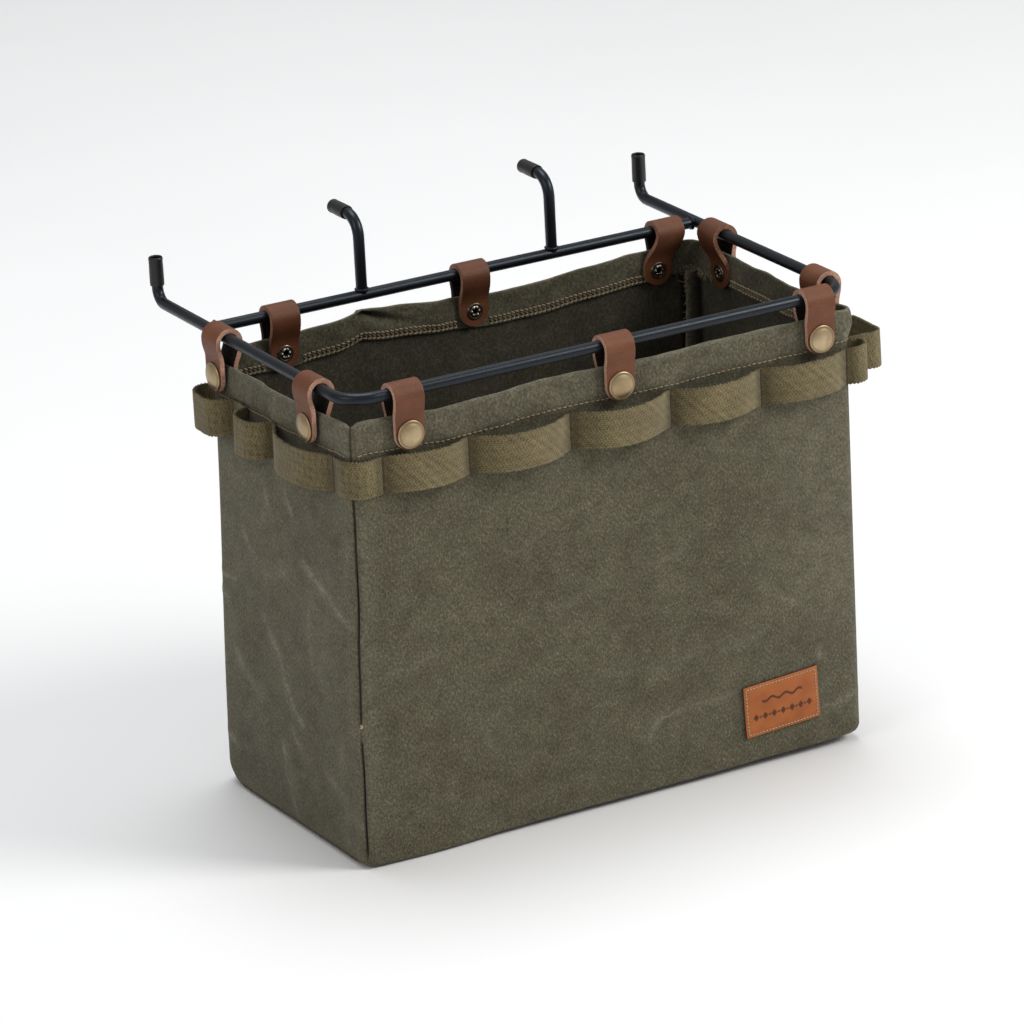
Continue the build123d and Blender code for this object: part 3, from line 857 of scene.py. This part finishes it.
def seam_allowance(name, corner_s, seed):
    """Raw seam edges inside a corner, pressed to one side; gives their tip and the way they point."""
    heights = np.linspace(4, 224, 76)
    reach = np.linspace(0, 1, 7)
    root = cloth_point(np.full_like(heights, corner_s), heights, canvas_t - 0.15, 0.0)
    out = outline(corner_s)[1]
    side = np.array([-out[1], out[0]])
    width = 9.0 + 0.9 * ripples(heights, 0.0, seed, 9, 40) + 0.35 * ripples(heights, 0.0, seed + 1, 2, 5)
    faces = []
    for face, steps in ((1, reach), (-1, reach[::-1])):
        for t in steps:
            bend = (0.55 * t + 0.12 * np.sin(heights / 17.0 + seed))[:, None]
            way = side * np.sin(bend) - out * np.cos(bend)
            normal = np.stack([-way[:, 1], way[:, 0]], 1)
            rows = root.copy()
            rows[:, :2] += way * (width * t)[:, None] + face * normal * 1.15 * (1 - 0.35 * t ** 6)
            faces.append(rows)
    grid = np.stack(faces, 1)
    piece = make_piece(name, *grid_solid(grid), [canvas], "olive_canvas", sharp=50, outward=True)
    rings = grid.shape[1]
    edge = np.concatenate([reach, reach[::-1]])[None] + 0 * heights[:, None]
    # Pale frayed tip; painted shade on the strip, darkest at its root and lighter towards its tip
    paint(piece, cloth=vectors(np.arange(rings)[None] * 1.6, heights[:, None], 0.0),
          rub=1.2 * smooth(0.82, 1.0, edge), shade=0.62 - 0.42 * edge)
    return (grid[:, len(reach) - 1] + grid[:, len(reach)]) / 2, np.append(-out, 0.0)


# ---------------- stitches


def stitches(starts, ends, ups, radius, arch=0.3, sides=6):
    """Short rounded thread bodies from starts to ends, humped along ups."""
    starts, ends, ups = (np.asarray(q, float) for q in (starts, ends, ups))
    t = np.array([0.0, 0.07, 0.25, 0.5, 0.75, 0.93, 1.0])
    fat = np.array([0.3, 0.75, 1.0, 1.08, 1.0, 0.75, 0.3])
    along = ends - starts
    across = unit(np.cross(ups, unit(along)))
    ups = np.cross(unit(along), across)
    centres = starts[:, None] + along[:, None] * t[:, None]
    centres = centres + ups[:, None] * (arch * (1 - (2 * t - 1) ** 2))[:, None]
    points = centres[:, :, None] + circle(across, ups, sides)[:, None] * (radius * fat)[:, None, None]
    return joined([grid_solid(stitch) for stitch in points])


def sewn_row(height, inset, pitch, gap, radius, keep, inward=False, seed=5, slant=0.0):
    """A row of stitches round the bag's hem, where keep allows them."""
    count = int(girth / pitch)
    s = np.arange(count) * girth / count
    rng = np.random.default_rng(seed)
    s = s + rng.uniform(-stitch_wander, stitch_wander, count)
    s = s[keep(s)]
    level = height + rng.uniform(-stitch_wander, stitch_wander, len(s))
    face = 0.0 if inward else 1.0
    a = cloth_point(s, level - slant, inset, face)
    b = cloth_point(s + pitch - gap, level + slant, inset, face)
    out = outline(s)[1] * (-1 if inward else 1)
    return stitches(a, b, vectors(out[:, 0], out[:, 1], 0.0), radius)


def off_straps(s):
    """Places on the inner hem that neither leather nor the rear right corner's loose threads cover."""
    free = [round_distance(s + 1.4, at) > strap_w / 2 + 1.8 for at in strap_s]
    return np.all(free, axis=0) & (np.abs(s - rear_seam_s) > 15.0)


def off_seam(s):
    return round_distance(s + 1.3, 0) > 2.0


def thread_piece(name, solid, thread, slot="khaki_webbing"):
    make_piece(name, *solid, [thread], slot)


def hem_stitching():
    """Single row outside; inside, two rows with the slanted loops of a chain seam between them."""
    rows = (("outer", 0.5, 0.15, 3.1, 0.7, 0.34, off_seam, False, 5, 0.0, gold_thread),
            ("inner_upper", 4.4, 2.78, 2.7, 0.25, 0.5, off_straps, True, 6, 0.35, pale_thread),
            ("inner_lower", 1.2, 2.78, 2.7, 0.25, 0.5, off_straps, True, 7, -0.35, pale_thread),
            ("inner_rungs", 2.8, 2.74, 2.7, 0.3, 0.34, off_straps, True, 8, 1.2, rung_thread))
    for name, height, *sewing, thread in rows:
        thread_piece("hem_stitch_" + name, sewn_row(fold_z + height, *sewing), thread)


def frayed_threads(tip, away):
    """Loose fibres on the raw seam edge at the rear right corner and on the hem fold above it."""
    rng = np.random.default_rng(61)
    count = 320
    pick = rng.integers(8, len(tip), count)
    seam_start = tip[pick] + UP * rng.uniform(-1.4, 1.4, (count, 1))
    seam_end = seam_start + (away + rng.normal(0, 0.7, (count, 3))) * rng.uniform(0.6, 2.6, (count, 1))
    s = rear_seam_s + rng.normal(0, 6.5, count)
    hem_start = cloth_point(s, fold_z + rng.uniform(-0.3, 3.2, count), 2.7, 0.0)
    hang = rng.normal(0, 0.5, (count, 3)) - UP * rng.uniform(0.2, 1.0, (count, 1))
    hang[:, 1] = -np.abs(hang[:, 1])
    hem_end = hem_start + hang * rng.uniform(0.8, 3.4, (count, 1))
    ups = rng.normal(0, 1, (2 * count, 3))
    solid = stitches(np.vstack([seam_start, hem_start]), np.vstack([seam_end, hem_end]), ups, 0.14, 0.4, 4)
    thread_piece("frayed_threads", solid, pale_thread, "olive_canvas")


def seam_knot():
    """The knotted thread end that closes the front left seam low down."""
    z = seam_knot_z[1] - 0.8 + np.array([-0.5, 0.1, 0.6])
    slant = np.array([0.5, -0.6, 0.35])
    starts, ends = (cloth_point(side, z + side * slant, 0.35, 0.0) for side in (-1.0, 1.0))
    ups = np.tile(np.append(outline(0.0)[1], 0.0), (3, 1))
    thread_piece("seam_knot", stitches(starts, ends, ups, 0.42, 0.4), label_thread)


# ---------------- webbing

# Tacks along each wall, and the loops between them as (bulge, lean of the sides, radius at the top corners)
tacks = {
    "front": [-129.7, -80.7, -22.0, 37.0, 91.0, 143.0],
    "back": [-130.0, -78.0, -26.0, 26.0, 78.0, 130.0],
    "left": [-60.0, 4.0, 34.0, 48.0],
    "right": [-62.0, -30.0, 4.0, 48.0],
}
loops = {
    "front": [(6.5, 12, 28), (11, 16, 34), (11, 16, 34), (9, 14, 32), (7.5, 13, 30)],
    "back": [(8, 14, 30)] * 5,
    "left": [(10, 17, 34), (12, 2, 10.5)],
    "right": [(27, -4, 7), (12, 3, 11), (9, 10, 22)],
}
# For the bands that pass round the corners: bends and radii before and after the wall's own loops
corner_bends = {
    "left": ([(-151.0, -80.2, 0)], [4.0, 10.0, 4.0], [(-159.5, 54.0, 0), (-158.0, 82.3, 0)], [1.9, 7.5, 10.0, 3.0]),
    "right": ([(159.0, -81.0, 0), (158.0, -66.5, 0)], [3.0, 8.5, 4.5, 1.4],
              [(158.0, 55.0, 0), (157.0, 82.0, 0)], [1.7, 8.0, 10.0, 3.0]),
}


def wall_point(wall, along, off=0.0):
    """Point on the webbing's middle line, off the flat run by the given distance."""
    heading, outward, reach = walls[wall][2:]
    return np.append(np.abs(heading) * along + outward * (reach + off + web_t / 2), 0.0)


def sewn_run(wall):
    """Corners and radii of the loops along one wall."""
    points, radii = [], []
    for k, (bulge, lean, top_r) in enumerate(loops[wall]):
        start = tacks[wall][k] + tack_w / 2
        end = tacks[wall][k + 1] - tack_w / 2
        foot = min(4.0, 0.45 * tack_w / math.tan(math.atan2(bulge, lean) / 2))
        places = ((start, 0), (start + lean, bulge), (end - lean, bulge), (end, 0))
        points += [wall_point(wall, *place) for place in places]
        radii += [foot, top_r, top_r, foot]
    return points, radii


def by_tacks(path, spots, field):
    """A field that follows from the distances and offsets to a tack, at its strongest over all the tacks."""
    offsets = [path[:, :2] - spot[:2] for spot in spots]
    return strongest(*[field(np.linalg.norm(offset, axis=1), offset) for offset in offsets])


def webbing_band(wall, points, radii, spots, seed):
    """Woven band on edge along the rounded path: relief on both faces, pinched at its tacks."""
    path = resampled(bent_path(points, radii), 0.42)
    for _ in range(3):
        path = np.vstack([path[:1], (path[:-2] + 2 * path[1:-1] + path[2:]) / 4, path[-1:]])
    lengths = arc_lengths(path)
    tangents = path_tangents(path)
    out = np.stack([tangents[:, 1], -tangents[:, 0]], 1)
    out = out * np.sign((path[:, :2] * out).sum())
    height = web_high - web_low
    half = web_t / 2
    section = [(v, half, 1) for v in np.linspace(0.3, height - 0.3, 60)]
    section += [(height - 0.08, half * 0.45, 0), (height, -half * 0.1, 0), (height - 0.12, -half * 0.6, 0)]
    section += [(v, -half, -1) for v in np.linspace(height - 0.6, 0.6, 14)]
    section += [(0.12, -half * 0.6, 0), (0, -half * 0.1, 0), (0.08, half * 0.45, 0)]
    v, depth, side = np.array(section, float).T[:, None]
    u = lengths[:, None]

    pinch = by_tacks(path, spots, lambda gap, offset: hump(gap, 0.75))[:, None]
    held = by_tacks(path, spots, lambda gap, offset: fade(2, 10, gap))[:, None]
    # Painted shade on the loop's flank just to the right of a tack
    painted_side_shade = by_tacks(path, spots, lambda gap, offset: hump(gap, 11.0) * smooth(-0.5, 1.5, offset @ to_the_right))
    loose = 1 - held

    chevron = np.abs(np.mod(v, 2 * chevron_h) - chevron_h)
    warp = u + 0.25 * ripples(u, v, seed + 7, 5, 16)
    slant = np.cos(math.tau * (warp + 0.55 * chevron) / (1.5 * weave_pitch))
    rows = np.cos(math.tau * v / weave_pitch + 0.3 * ripples(u, v, seed + 9, 3, 8))
    relief = 0.56 + 0.17 * slant + 0.16 * rows + 0.36 * slant * rows
    relief = np.clip(relief + 0.18 * ripples(u, v, seed + 5, 1.6, 5), 0, 1)
    offset = depth + np.sign(depth) * (side != 0) * (relief - 0.85) * weave_relief - pinch_depth * pinch * (side > 0)
    swing = 0.5 * ripples(u, 0.0, seed + 1, 25, 80)
    offset = offset + swing * loose * (v / height - 0.5) * 1.4
    scallop = 0.3 * np.cos(math.tau * u / (1.9 * weave_pitch)) + 0.12 * ripples(u, 0.0, seed + 3, 3, 7)
    by_edge = fade(0, 1.2, np.minimum(v, height - v))
    level = web_low + v + scallop * by_edge * np.where(v > height / 2, 1, -1)
    level = level + 0.35 * ripples(u, 0.0, seed, 18, 60) * loose
    place = path[:, None, :2] + out[:, None] * offset[..., None]
    points = vectors(place[..., 0], place[..., 1], level)
    piece = make_piece("web_band_" + wall, *grid_solid(points), [webbing], "khaki_webbing", ["webbing_" + wall],
                       outward=True)
    # Colour tone from the weave's relief, darker on the band's top and bottom edges
    tone = np.where(side == 0, 0.55, 1.0) * relief
    # Painted light: flanks that face the right are lighter
    tone = tone * (0.74 + 0.3 * np.clip(0.5 + 0.9 * (out @ to_the_right), 0, 1))[:, None]
    # Painted shade on the flank right of each tack, and where the band is pinched and held at the tacks
    tone = tone * (1 - 0.26 * painted_side_shade[:, None]) * (1 - 0.75 * np.maximum(pinch, 0.6 * held ** 2))
    paint(piece, cloth=vectors(u, v, depth), relief=tone)


def webbing_pieces():
    """One band on each wall; the left and right ones reach round the corners to the last tacks of front and back."""
    spots = {wall: [wall_point(wall, along) for along in places] for wall, places in tacks.items()}
    for wall, seed in (("front", 41), ("back", 43)):
        points, radii = sewn_run(wall)
        webbing_band(wall, [spots[wall][0], *points, spots[wall][-1]], radii, spots[wall], seed)
    pad = tack_w / 2
    for wall, k, beyond, seed in (("left", 0, -pad, 45), ("right", -1, pad, 47)):
        near, near_radii, far, far_radii = corner_bends[wall]
        points, radii = sewn_run(wall)
        ends = [spots["front"][k], spots["back"][k]]
        corners = [ends[0], wall_point("front", tacks["front"][k] + beyond), *near,
                   wall_point(wall, tacks[wall][0] - pad), *points, wall_point(wall, tacks[wall][-1] + pad), *far,
                   wall_point("back", tacks["back"][k] + beyond), ends[1]]
        webbing_band(wall, corners, near_radii + radii + far_radii, spots[wall] + ends, seed)
    tack_stitching(spots)


def tack_stitching(spots):
    """Upright runs of dark thread that hold the webbing down."""
    starts, ends, ups = [], [], []
    for wall, places in spots.items():
        out = np.append(walls[wall][3], 0.0)
        jog = 0.18 * np.cross(out, UP)
        for place in places:
            for k in range(10):
                base = place + out * (web_t / 2 - 0.42) + UP * (web_low + 0.6 + k * 1.9)
                way = 1 if k % 2 else -1
                starts.append(base + way * jog)
                ends.append(base + UP * 1.6 - way * jog)
                ups.append(out)
    thread_piece("tack_stitches", stitches(starts, ends, ups, 0.27, 0.12), tack_thread)


# ---------------- rods


def rod_piece(name, solid, node):
    make_piece(name, *solid, [coated_steel], "black_steel", [node], sharp=50)


def rods():
    arm_top, arm_y = ring_high[2], ring_high[1] - rod_r
    half_ring = [(arm_y, arm_top), (arm_y, ring_z), (-ring_y, ring_z)]
    corners = [(-ring_x, y, z) for y, z in half_ring] + [(ring_x, y, z) for y, z in half_ring[::-1]]
    path = bent_path(corners, [arm_bend_r, ring_bend_r, ring_bend_r, arm_bend_r])
    rod_piece("rod_ring", rounded_rod(path, rod_r), "perimeter_rod")
    bar_y = (bar_low[1] + bar_high[1]) / 2
    bar = vectors(np.linspace(-ring_x + 1.2, ring_x - 1.2, 40), bar_y, ring_z)
    parts = [grid_solid(tube_points(bar, rod_r))]
    for side in (-1, 1):
        parts.append(weld_bead((side * (ring_x - rod_r - 0.25), bar_y, ring_z), (side, 0, 0), 3.0, 60 + side))
    rod_piece("rod_crossbar", joined(parts), "rear_crossbar")
    for side, name in ((-1, "left"), (1, "right")):
        low, high = node_box("rail_hook_" + name)
        x = (low[0] + high[0]) / 2
        top_z = high[2] - rod_r
        hook = bent_path([(x, bar_y, ring_z + 1.0), (x, bar_y, top_z), (x, high[1], top_z)], [hook_bend_r])
        bead = weld_bead((x, bar_y, ring_z + rod_r + 0.2), (0, 0, 1), 2.95, 70 + side)
        rod_piece("hook_" + name, joined([rounded_rod(hook, rod_r), bead]), "rail_hook_" + name)


def weld_bead(centre, axis, ring_radius, seed, bead_radius=0.85):
    """Lumpy ring of weld metal under the paint."""
    axis = np.array(axis, float)
    side = unit(np.cross(axis, np.array([0.0, 1.0, 0.0])))
    turns = np.arange(40) * math.tau / 40
    cross = np.arange(12) * math.tau / 12
    radius = (bead_radius * (1 + 0.16 * np.sin(9 * turns + seed) + 0.08 * np.sin(5 * turns + 2 * seed)))[:, None]
    radial = circle(side, np.cross(axis, side), 40)[:, None]
    points = np.array(centre) + radial * (ring_radius + np.cos(cross) * radius)[..., None]
    points = points + axis * (np.sin(cross) * 0.95 * radius)[..., None]
    return grid_solid(points, wrap_u=True)


def sleeves():
    """Vinyl tubes on the four rod ends, slightly swollen over the rod and open at the mouth."""
    for name in ("sleeve_arm_left", "sleeve_arm_right", "sleeve_hook_left", "sleeve_hook_right"):
        low, high = node_box(name)
        axis = UP if "arm" in name else np.array([0.0, 1.0, 0.0])
        length = (high - low) @ axis
        radius = (high[0] - low[0]) / 2
        mouth_r = rod_r + (radius - rod_r) * 0.45
        profile = [
            (rod_r + 0.03, 0.25), (rod_r + 0.2, 0.05), (radius - 0.3, 0.0), (radius - 0.06, 0.25),
            (radius - 0.02, 0.8), (radius, length * 0.3), (radius - 0.05, length * 0.6),
            (radius - 0.1, length - 2.6), (radius, length - 1.2), (radius - 0.02, length - 0.55),
            (radius - 0.3, length - 0.08), (mouth_r, length), (rod_r + 0.08, length - 0.12),
            (rod_r - 0.12, length - 0.5), (rod_r - 0.1, length - 1.5), (rod_r + 0.03, length - 1.9),
            (rod_r + 0.03, length * 0.5)]
        rings = lathe(profile, (low + high) / 2 - axis * length / 2, axis, 48)
        make_piece("vinyl_" + name, *grid_solid(rings, wrap_u=True), [vinyl], "black_vinyl", [name],
                   sharp=60, outward=True)


# ---------------- leather straps

# How far two inner tails hang sideways, away from the rear right corner
tail_slip = {"back_right": 7.0, "right_rear": -7.0}


def bezier(points, t):
    p = np.array(points, float)
    t = t[:, None]
    return (1 - t) ** 3 * p[0] + 3 * (1 - t) ** 2 * t * p[1] + 3 * (1 - t) * t ** 2 * p[2] + t ** 3 * p[3]


def with_round_end(line, flat):
    """The middle line with the strap's round end added below it, and the half width at each station."""
    angles = np.linspace(0, math.radians(86), 12)
    tip = vectors(flat, snap_z - strap_w / 2 * np.sin(angles))
    widths = np.concatenate([np.full(len(line), strap_w / 2), strap_w / 2 * np.cos(angles)])
    return np.vstack([line, tip]), widths


def tail_stations():
    """Middle line (out, up) and half width from the hinge over the rod to the inner round end."""
    top_r = loop_r + strap_t / 2
    turn = np.linspace(0, math.pi, 26)
    flat = -(hem_face + strap_t / 2)
    curve = bezier([(-top_r, loop_z), (-top_r, loop_z - 7.5), (flat, snap_z + 9), (flat, snap_z + 3)],
                   np.linspace(0, 1, 18)[1:])
    arch = vectors(top_r * np.cos(turn), loop_z + top_r * np.sin(turn))
    return with_round_end(np.vstack([[(top_r, loop_z - flap_gap)], arch, curve]), flat)


def flap_stations():
    """Middle line (out, up) and half width from the hinge down to the outer round end."""
    top_r, top = loop_r + strap_t / 2, loop_z - flap_gap
    flat = flap_in + strap_t / 2
    curve = bezier([(top_r, top), (top_r, top - 5), (flat, flat_top_z + 4), (flat, flat_top_z)], np.linspace(0, 1, 16))
    straight = vectors(flat, np.linspace(flat_top_z, snap_z, 6)[1:-1])
    return with_round_end(np.vstack([curve, straight]), flat)


def leather_sheet(part, strap, stations, start_u, seed):
    """Leather of full thickness round a middle line, its cut edges softened, with grain coordinates."""
    name = part + "_" + strap
    is_tail = part == "tail"
    origin, outward = straps[strap][:2]
    line, widths = stations
    reach, rise = line.T[..., None]
    inner = reach < 0
    x = widths[:, None] * np.linspace(-1, 1, 11)
    slip = tail_slip.get(strap, 0.0) * fade(snap_z + 2, loop_z + 2, rise) * inner * is_tail
    points = (origin + (x + slip)[..., None] * np.cross(UP, outward) + reach[..., None] * outward
              + rise[..., None] * UP)
    faces = grid_faces(*x.shape)[:, ::-1 if is_tail else 1]
    at_back = is_tail and (strap.startswith("back") or strap == "right_rear")
    # Rims with painted shade: dimmer on the rear inner tails and near black on the rear flaps
    edge = edge_painted_shade if at_back else leather_flesh if name.startswith("flap_back") else leather_edge
    piece = link(name, raw_mesh(name, points, faces.tolist(), (strap_leather, edge, leather_flesh)))
    # Painted shade at the tail's waist just under the rod; the rear inner tails also get a darker, redder tone all
    # over
    waist = hump(rise + 8.0, 5.0) * inner * is_tail
    dark_tone_and_painted_shade = 0.28 + 0.4 * waist if at_back else 0.1 * waist
    paint(piece, hide=vectors(x + seed * 31.0, start_u + arc_lengths(line)[:, None], seed * 7.0),
          stamp=dark_tone_and_painted_shade + 0 * x)
    thick = piece.modifiers.new("thick", "SOLIDIFY")
    thick.thickness = strap_t * MM
    thick.offset = 0.0
    thick.use_even_offset = True
    thick.material_offset_rim = 1
    thick.material_offset = 2
    mesh = bpy.data.meshes.new_from_object(piece.evaluated_get(bpy.context.evaluated_depsgraph_get()))
    work = bmesh.new()
    work.from_mesh(mesh)
    # The rim is softened but not the cut where tail and flap meet
    cut = origin + (loop_r + strap_t / 2) * outward + (loop_z - flap_gap) * UP
    rim = []
    for edge in work.edges:
        if len(edge.link_faces) == 2 and edge.calc_face_angle(0) > math.radians(40):
            here = np.array((edge.verts[0].co + edge.verts[1].co) / 2) / MM - cut
            if abs(here @ UP) >= 0.06 or abs(here @ outward) >= 3.0:
                rim.append(edge)
    bmesh.ops.bevel(work, geom=rim, offset=edge_softening * MM, segments=3, profile=0.55, affect="EDGES",
                    clamp_overlap=True)
    bmesh.ops.recalc_face_normals(work, faces=work.faces)
    work.to_mesh(mesh)
    work.free()
    piece.modifiers.clear()
    piece.data = mesh
    mesh.shade_smooth()
    mesh.set_sharp_from_angle(angle=math.radians(52))
    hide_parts("strap_" + name)
    return piece


def strap_leathers():
    for k, (strap, (_, _, hinge, body)) in enumerate(straps.items()):
        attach(leather_sheet("tail", strap, tail_stations(), 0.0, k), ROOT)
        flap = leather_sheet("flap", strap, flap_stations(), -45.0, k)
        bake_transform(flap)


# ---------------- snaps


def snap_caps():
    face = flap_in + strap_t
    radius, height = np.array([
        (0, -0.25), (5.5, -0.25), (6.9, -0.12), (7.35, 0.05), (7.55, 0.35), (7.52, 0.7), (7.3, 0.98), (6.95, 1.12),
        (6.6, 1.1), (6.3, 1.12), (5.6, 1.42), (4.5, 1.78), (3.2, 2.06), (1.8, 2.24), (0.8, 2.3), (0, 2.31)]).T
    radius = np.clip(radius * cap_r / radius.max(), 0.02, cap_r)
    groove = hump(radius - 6.5, 0.35) * (height > 0.8)
    hollow = np.repeat(np.maximum(groove * 0.7, 0.8 * (height < 0.2)), cap_sides)
    for name, (origin, outward, _, body) in straps.items():
        rings = lathe(np.stack([radius, face + height], 1), origin + UP * snap_z, outward, cap_sides)
        piece = make_piece("cap_" + name, *grid_solid(rings), [brass], "brass_cap", ["snap_cap_" + name], body,
                           outward=True)
        paint(piece, hollow=hollow)


def snap_studs():
    """Back washers with their rolled rivet petals inside the bag, and the studs under the flaps."""
    back = np.array([0.0, hem_face + strap_t])
    washer = back + [
        (0.05, 0.1), (0.9, 0.1), (1.25, 0.14), (1.4, 0.4), (1.65, 0.85), (2.15, 1.05), (2.6, 0.9), (3.0, 0.45),
        (3.3, 0.4), (3.7, 0.6), (4.2, 0.62), (4.6, 0.4), (4.75, 0.05), (4.7, -0.1), (0.05, -0.65)]
    stud = np.array([0.0, hem_face]) + [
        (0.05, -0.3), (4.3, -0.1), (4.5, 0.15), (4.3, 0.5), (2.6, 0.6), (1.85, 0.75), (1.8, 0.95), (2.0, 1.2),
        (1.9, 1.45), (1.4, 1.6), (0.05, 1.62)]
    parts = []
    for name, (origin, outward, *_) in straps.items():
        centre = origin + UP * snap_z
        slip = tail_slip.get(name, 0.0) * np.cross(UP, outward)
        parts.append(grid_solid(lathe(washer, centre + slip, -outward, washer_sides,
                                      lambda radius, angles: 0.3 * hump(radius - 2.2, 0.75) * np.cos(6 * angles))))
        parts.append(grid_solid(lathe(stud, centre, outward, stud_sides)))
    piece = make_piece("snap_stud_set", *joined(parts), [dark_metal], "dark_snap", ["snap_studs"], sharp=70,
                       outward=True)
    # Painted shade: near black in the hole at the washer's middle
    dark = np.append(np.repeat(fade(1.1, 1.9, washer[:, 0]), washer_sides), np.zeros(stud_sides * len(stud)))
    paint(piece, hollow=np.tile(dark, len(straps)))


def snap_sockets():
    for name in straps:
        node = frame["nodes"]["snap_socket_" + name]
        node.data.materials.clear()
        node.data.materials.append(dark_metal)


# ---------------- label

label_x, _, label_z = (label_low + label_high) / 2
label_w, label_t, label_h = label_high - label_low


def label():
    """Leather patch, a little proud of the cloth, with a stamped plain motif and a stitched border."""
    x, z = np.meshgrid(np.linspace(-label_w / 2, label_w / 2, 151), np.linspace(-label_h / 2, label_h / 2, 99),
                       indexing="ij")
    rim = np.minimum(label_w / 2 - np.abs(x), label_h / 2 - np.abs(z))
    stamp = stamped_motif(x, z)
    dome = 0.22 * fade(0, 0.8, rim) ** 2
    proud = label_t - dome - 0.16 * hump(rim - border_stitch_in, 0.5) - 0.22 * stamp
    back = label_place(x, z)
    to_front = np.array([0, -1.0, 0])
    nu, nv = x.shape
    count = nu * nv
    top = grid_faces(nu, nv)
    low = top[:, ::-1] + count
    index = np.arange(count).reshape(nu, nv)
    border = np.concatenate([index[:, 0], index[-1, 1:], index[-2::-1, -1], index[0, -2:0:-1]])
    after = np.roll(border, -1)
    sides = np.stack([after, border, border + count, after + count], 1)
    points = np.vstack([(back + to_front * proud[..., None]).reshape(-1, 3), (back - to_front * 0.15).reshape(-1, 3)])
    piece = make_piece("label_patch", points, np.vstack([top, low, sides]).tolist(), [label_leather, label_edge],
                       "label_leather", ["leather_label"], sharp=48)
    for polygon in piece.data.polygons[2 * len(top):]:
        polygon.material_index = 1
    turn_outward(piece.data)
    paint(piece, hide=vectors(np.tile(x.ravel() + label_x, 2) + 900.0, np.tile(z.ravel() + label_z, 2), 0.0),
          stamp=np.append(stamp, 0 * stamp))
    label_stitching()


def label_place(x, z):
    """Point on the cloth under the label, which was sewn on slightly askew."""
    wall_x = label_x + x * math.cos(label_turn) - z * math.sin(label_turn)
    wall_z = label_z + x * math.sin(label_turn) + z * math.cos(label_turn)
    lift = bottom_lift(wall_x, -bag_y) * fade(0, 120, wall_z)
    return cloth_point(around("front", wall_x), wall_z - lift, 0.0, 0.0)


def stamped_motif(x, z):
    """Row of lozenges and dots under a plain wave: pressed ornament, no lettering."""
    cell, row_z = 5.4, -4.2
    index = np.round(x / cell)
    lozenge = fade(0.95, 1.15, np.abs(x - index * cell) * 0.6 + np.abs(z - row_z) * 0.5) * (np.abs(index) <= 3)
    half = np.round(x / cell - 0.5) + 0.5
    pip = fade(0.5, 0.75, np.hypot(x - half * cell, z - row_z)) * (np.abs(half) < 3)
    wave = z - 4.6 - 0.9 * np.sin(math.tau * x / 8.2)
    line = fade(0.45, 0.75, np.abs(wave) * 0.85) * fade(12.0, 12.5, np.abs(x))
    return np.clip(lozenge + pip + line, 0, 1)


def label_stitching():
    hx, hz = label_w / 2 - border_stitch_in, label_h / 2 - border_stitch_in
    corners = [(-hx, -hz), (hx, -hz), (hx, hz), (-hx, hz), (-hx, -hz)]
    ends = []
    for (x0, z0), (x1, z1) in zip(corners, corners[1:]):
        count = int(round(math.hypot(x1 - x0, z1 - z0) / 1.95))
        t = (np.arange(count)[:, None] + np.array([0.16, 0.84])) / count
        ends.append(label_place(x0 + (x1 - x0) * t, z0 + (z1 - z0) * t) - np.array([0, label_t - 0.12, 0]))
    ends = np.vstack(ends)
    solid = stitches(ends[:, 0], ends[:, 1], [(0, -1, 0)] * len(ends), 0.32, 0.12)
    thread_piece("label_stitches", solid, label_thread, "label_leather")


# ---------------- floor, light and camera


def studio():
    spots = np.linspace(-6000.0, 6000.0, 9)
    points = vectors(spots[:, None], spots[None], -0.3)
    link("floor", raw_mesh("floor", points, grid_faces(9, 9).tolist(), [floor_look]))
    world = bpy.data.worlds.new("studio")
    bpy.context.scene.world = world
    world.use_nodes = True
    background = world.node_tree.nodes["Background"]
    background.inputs["Color"].default_value = (1.0, 1.0, 1.0, 1.0)
    background.inputs["Strength"].default_value = 0.39
    soft_light("key", (1.75, -1.5, 1.8), 1.2, 44.0, (1.0, 0.985, 0.96))
    soft_light("side", (-2.4, -0.5, 1.5), 1.4, 12.5, (1.0, 0.97, 0.93))
    soft_light("top", (0.2, 0.6, 2.6), 1.6, 34.0, (0.94, 0.97, 1.0))


def soft_light(name, place, size, power, colour):
    light = bpy.data.lights.new(name, "AREA")
    light.shape = "DISK"
    light.size = size
    light.energy = power
    light.color = colour
    lamp = link(name, light)
    lamp.location = place
    lamp.rotation_mode = "QUATERNION"
    lamp.rotation_quaternion = (Vector((0, 0, bag_h / 2 * MM)) - Vector(place)).to_track_quat("-Z", "Y")


def camera():
    """Long lens from the front left and above, rolled slightly."""
    azimuth, elevation, roll = math.radians(-28.726), math.radians(19.890), math.radians(-2.980)
    distance = 3215.9
    aim = np.array([-11.63, 7.73, 138.29])
    level = math.cos(elevation)
    back = np.array([math.sin(azimuth) * level, -math.cos(azimuth) * level, math.sin(elevation)])
    right = unit(np.cross(UP, back))
    above = np.cross(back, right)
    turned_right = right * math.cos(roll) + above * math.sin(roll)
    turned_up = -right * math.sin(roll) + above * math.cos(roll)
    data = bpy.data.cameras.new("camera")
    data.sensor_width = 36.0
    data.lens = 217.44
    data.clip_end = 50.0
    view = link("camera", data)
    axes = Matrix([turned_right, turned_up, back]).transposed().to_4x4()
    view.matrix_world = Matrix.Translation(Vector((aim + back * distance) * MM)) @ axes
    scene = bpy.context.scene
    bpy.context.scene.camera = view
    scene.view_settings.view_transform = "Standard"
    scene.view_settings.look = "None"


bag_shell()
bag_base()
frayed_threads(*seam_allowance("seam_inside_rear_right", rear_seam_s, 80))
seam_allowance("seam_inside_front_left", 0.0, 90)
hem_stitching()
seam_knot()
webbing_pieces()
rods()
sleeves()
strap_leathers()
snap_caps()
snap_studs()
snap_sockets()
label()
studio()
camera()
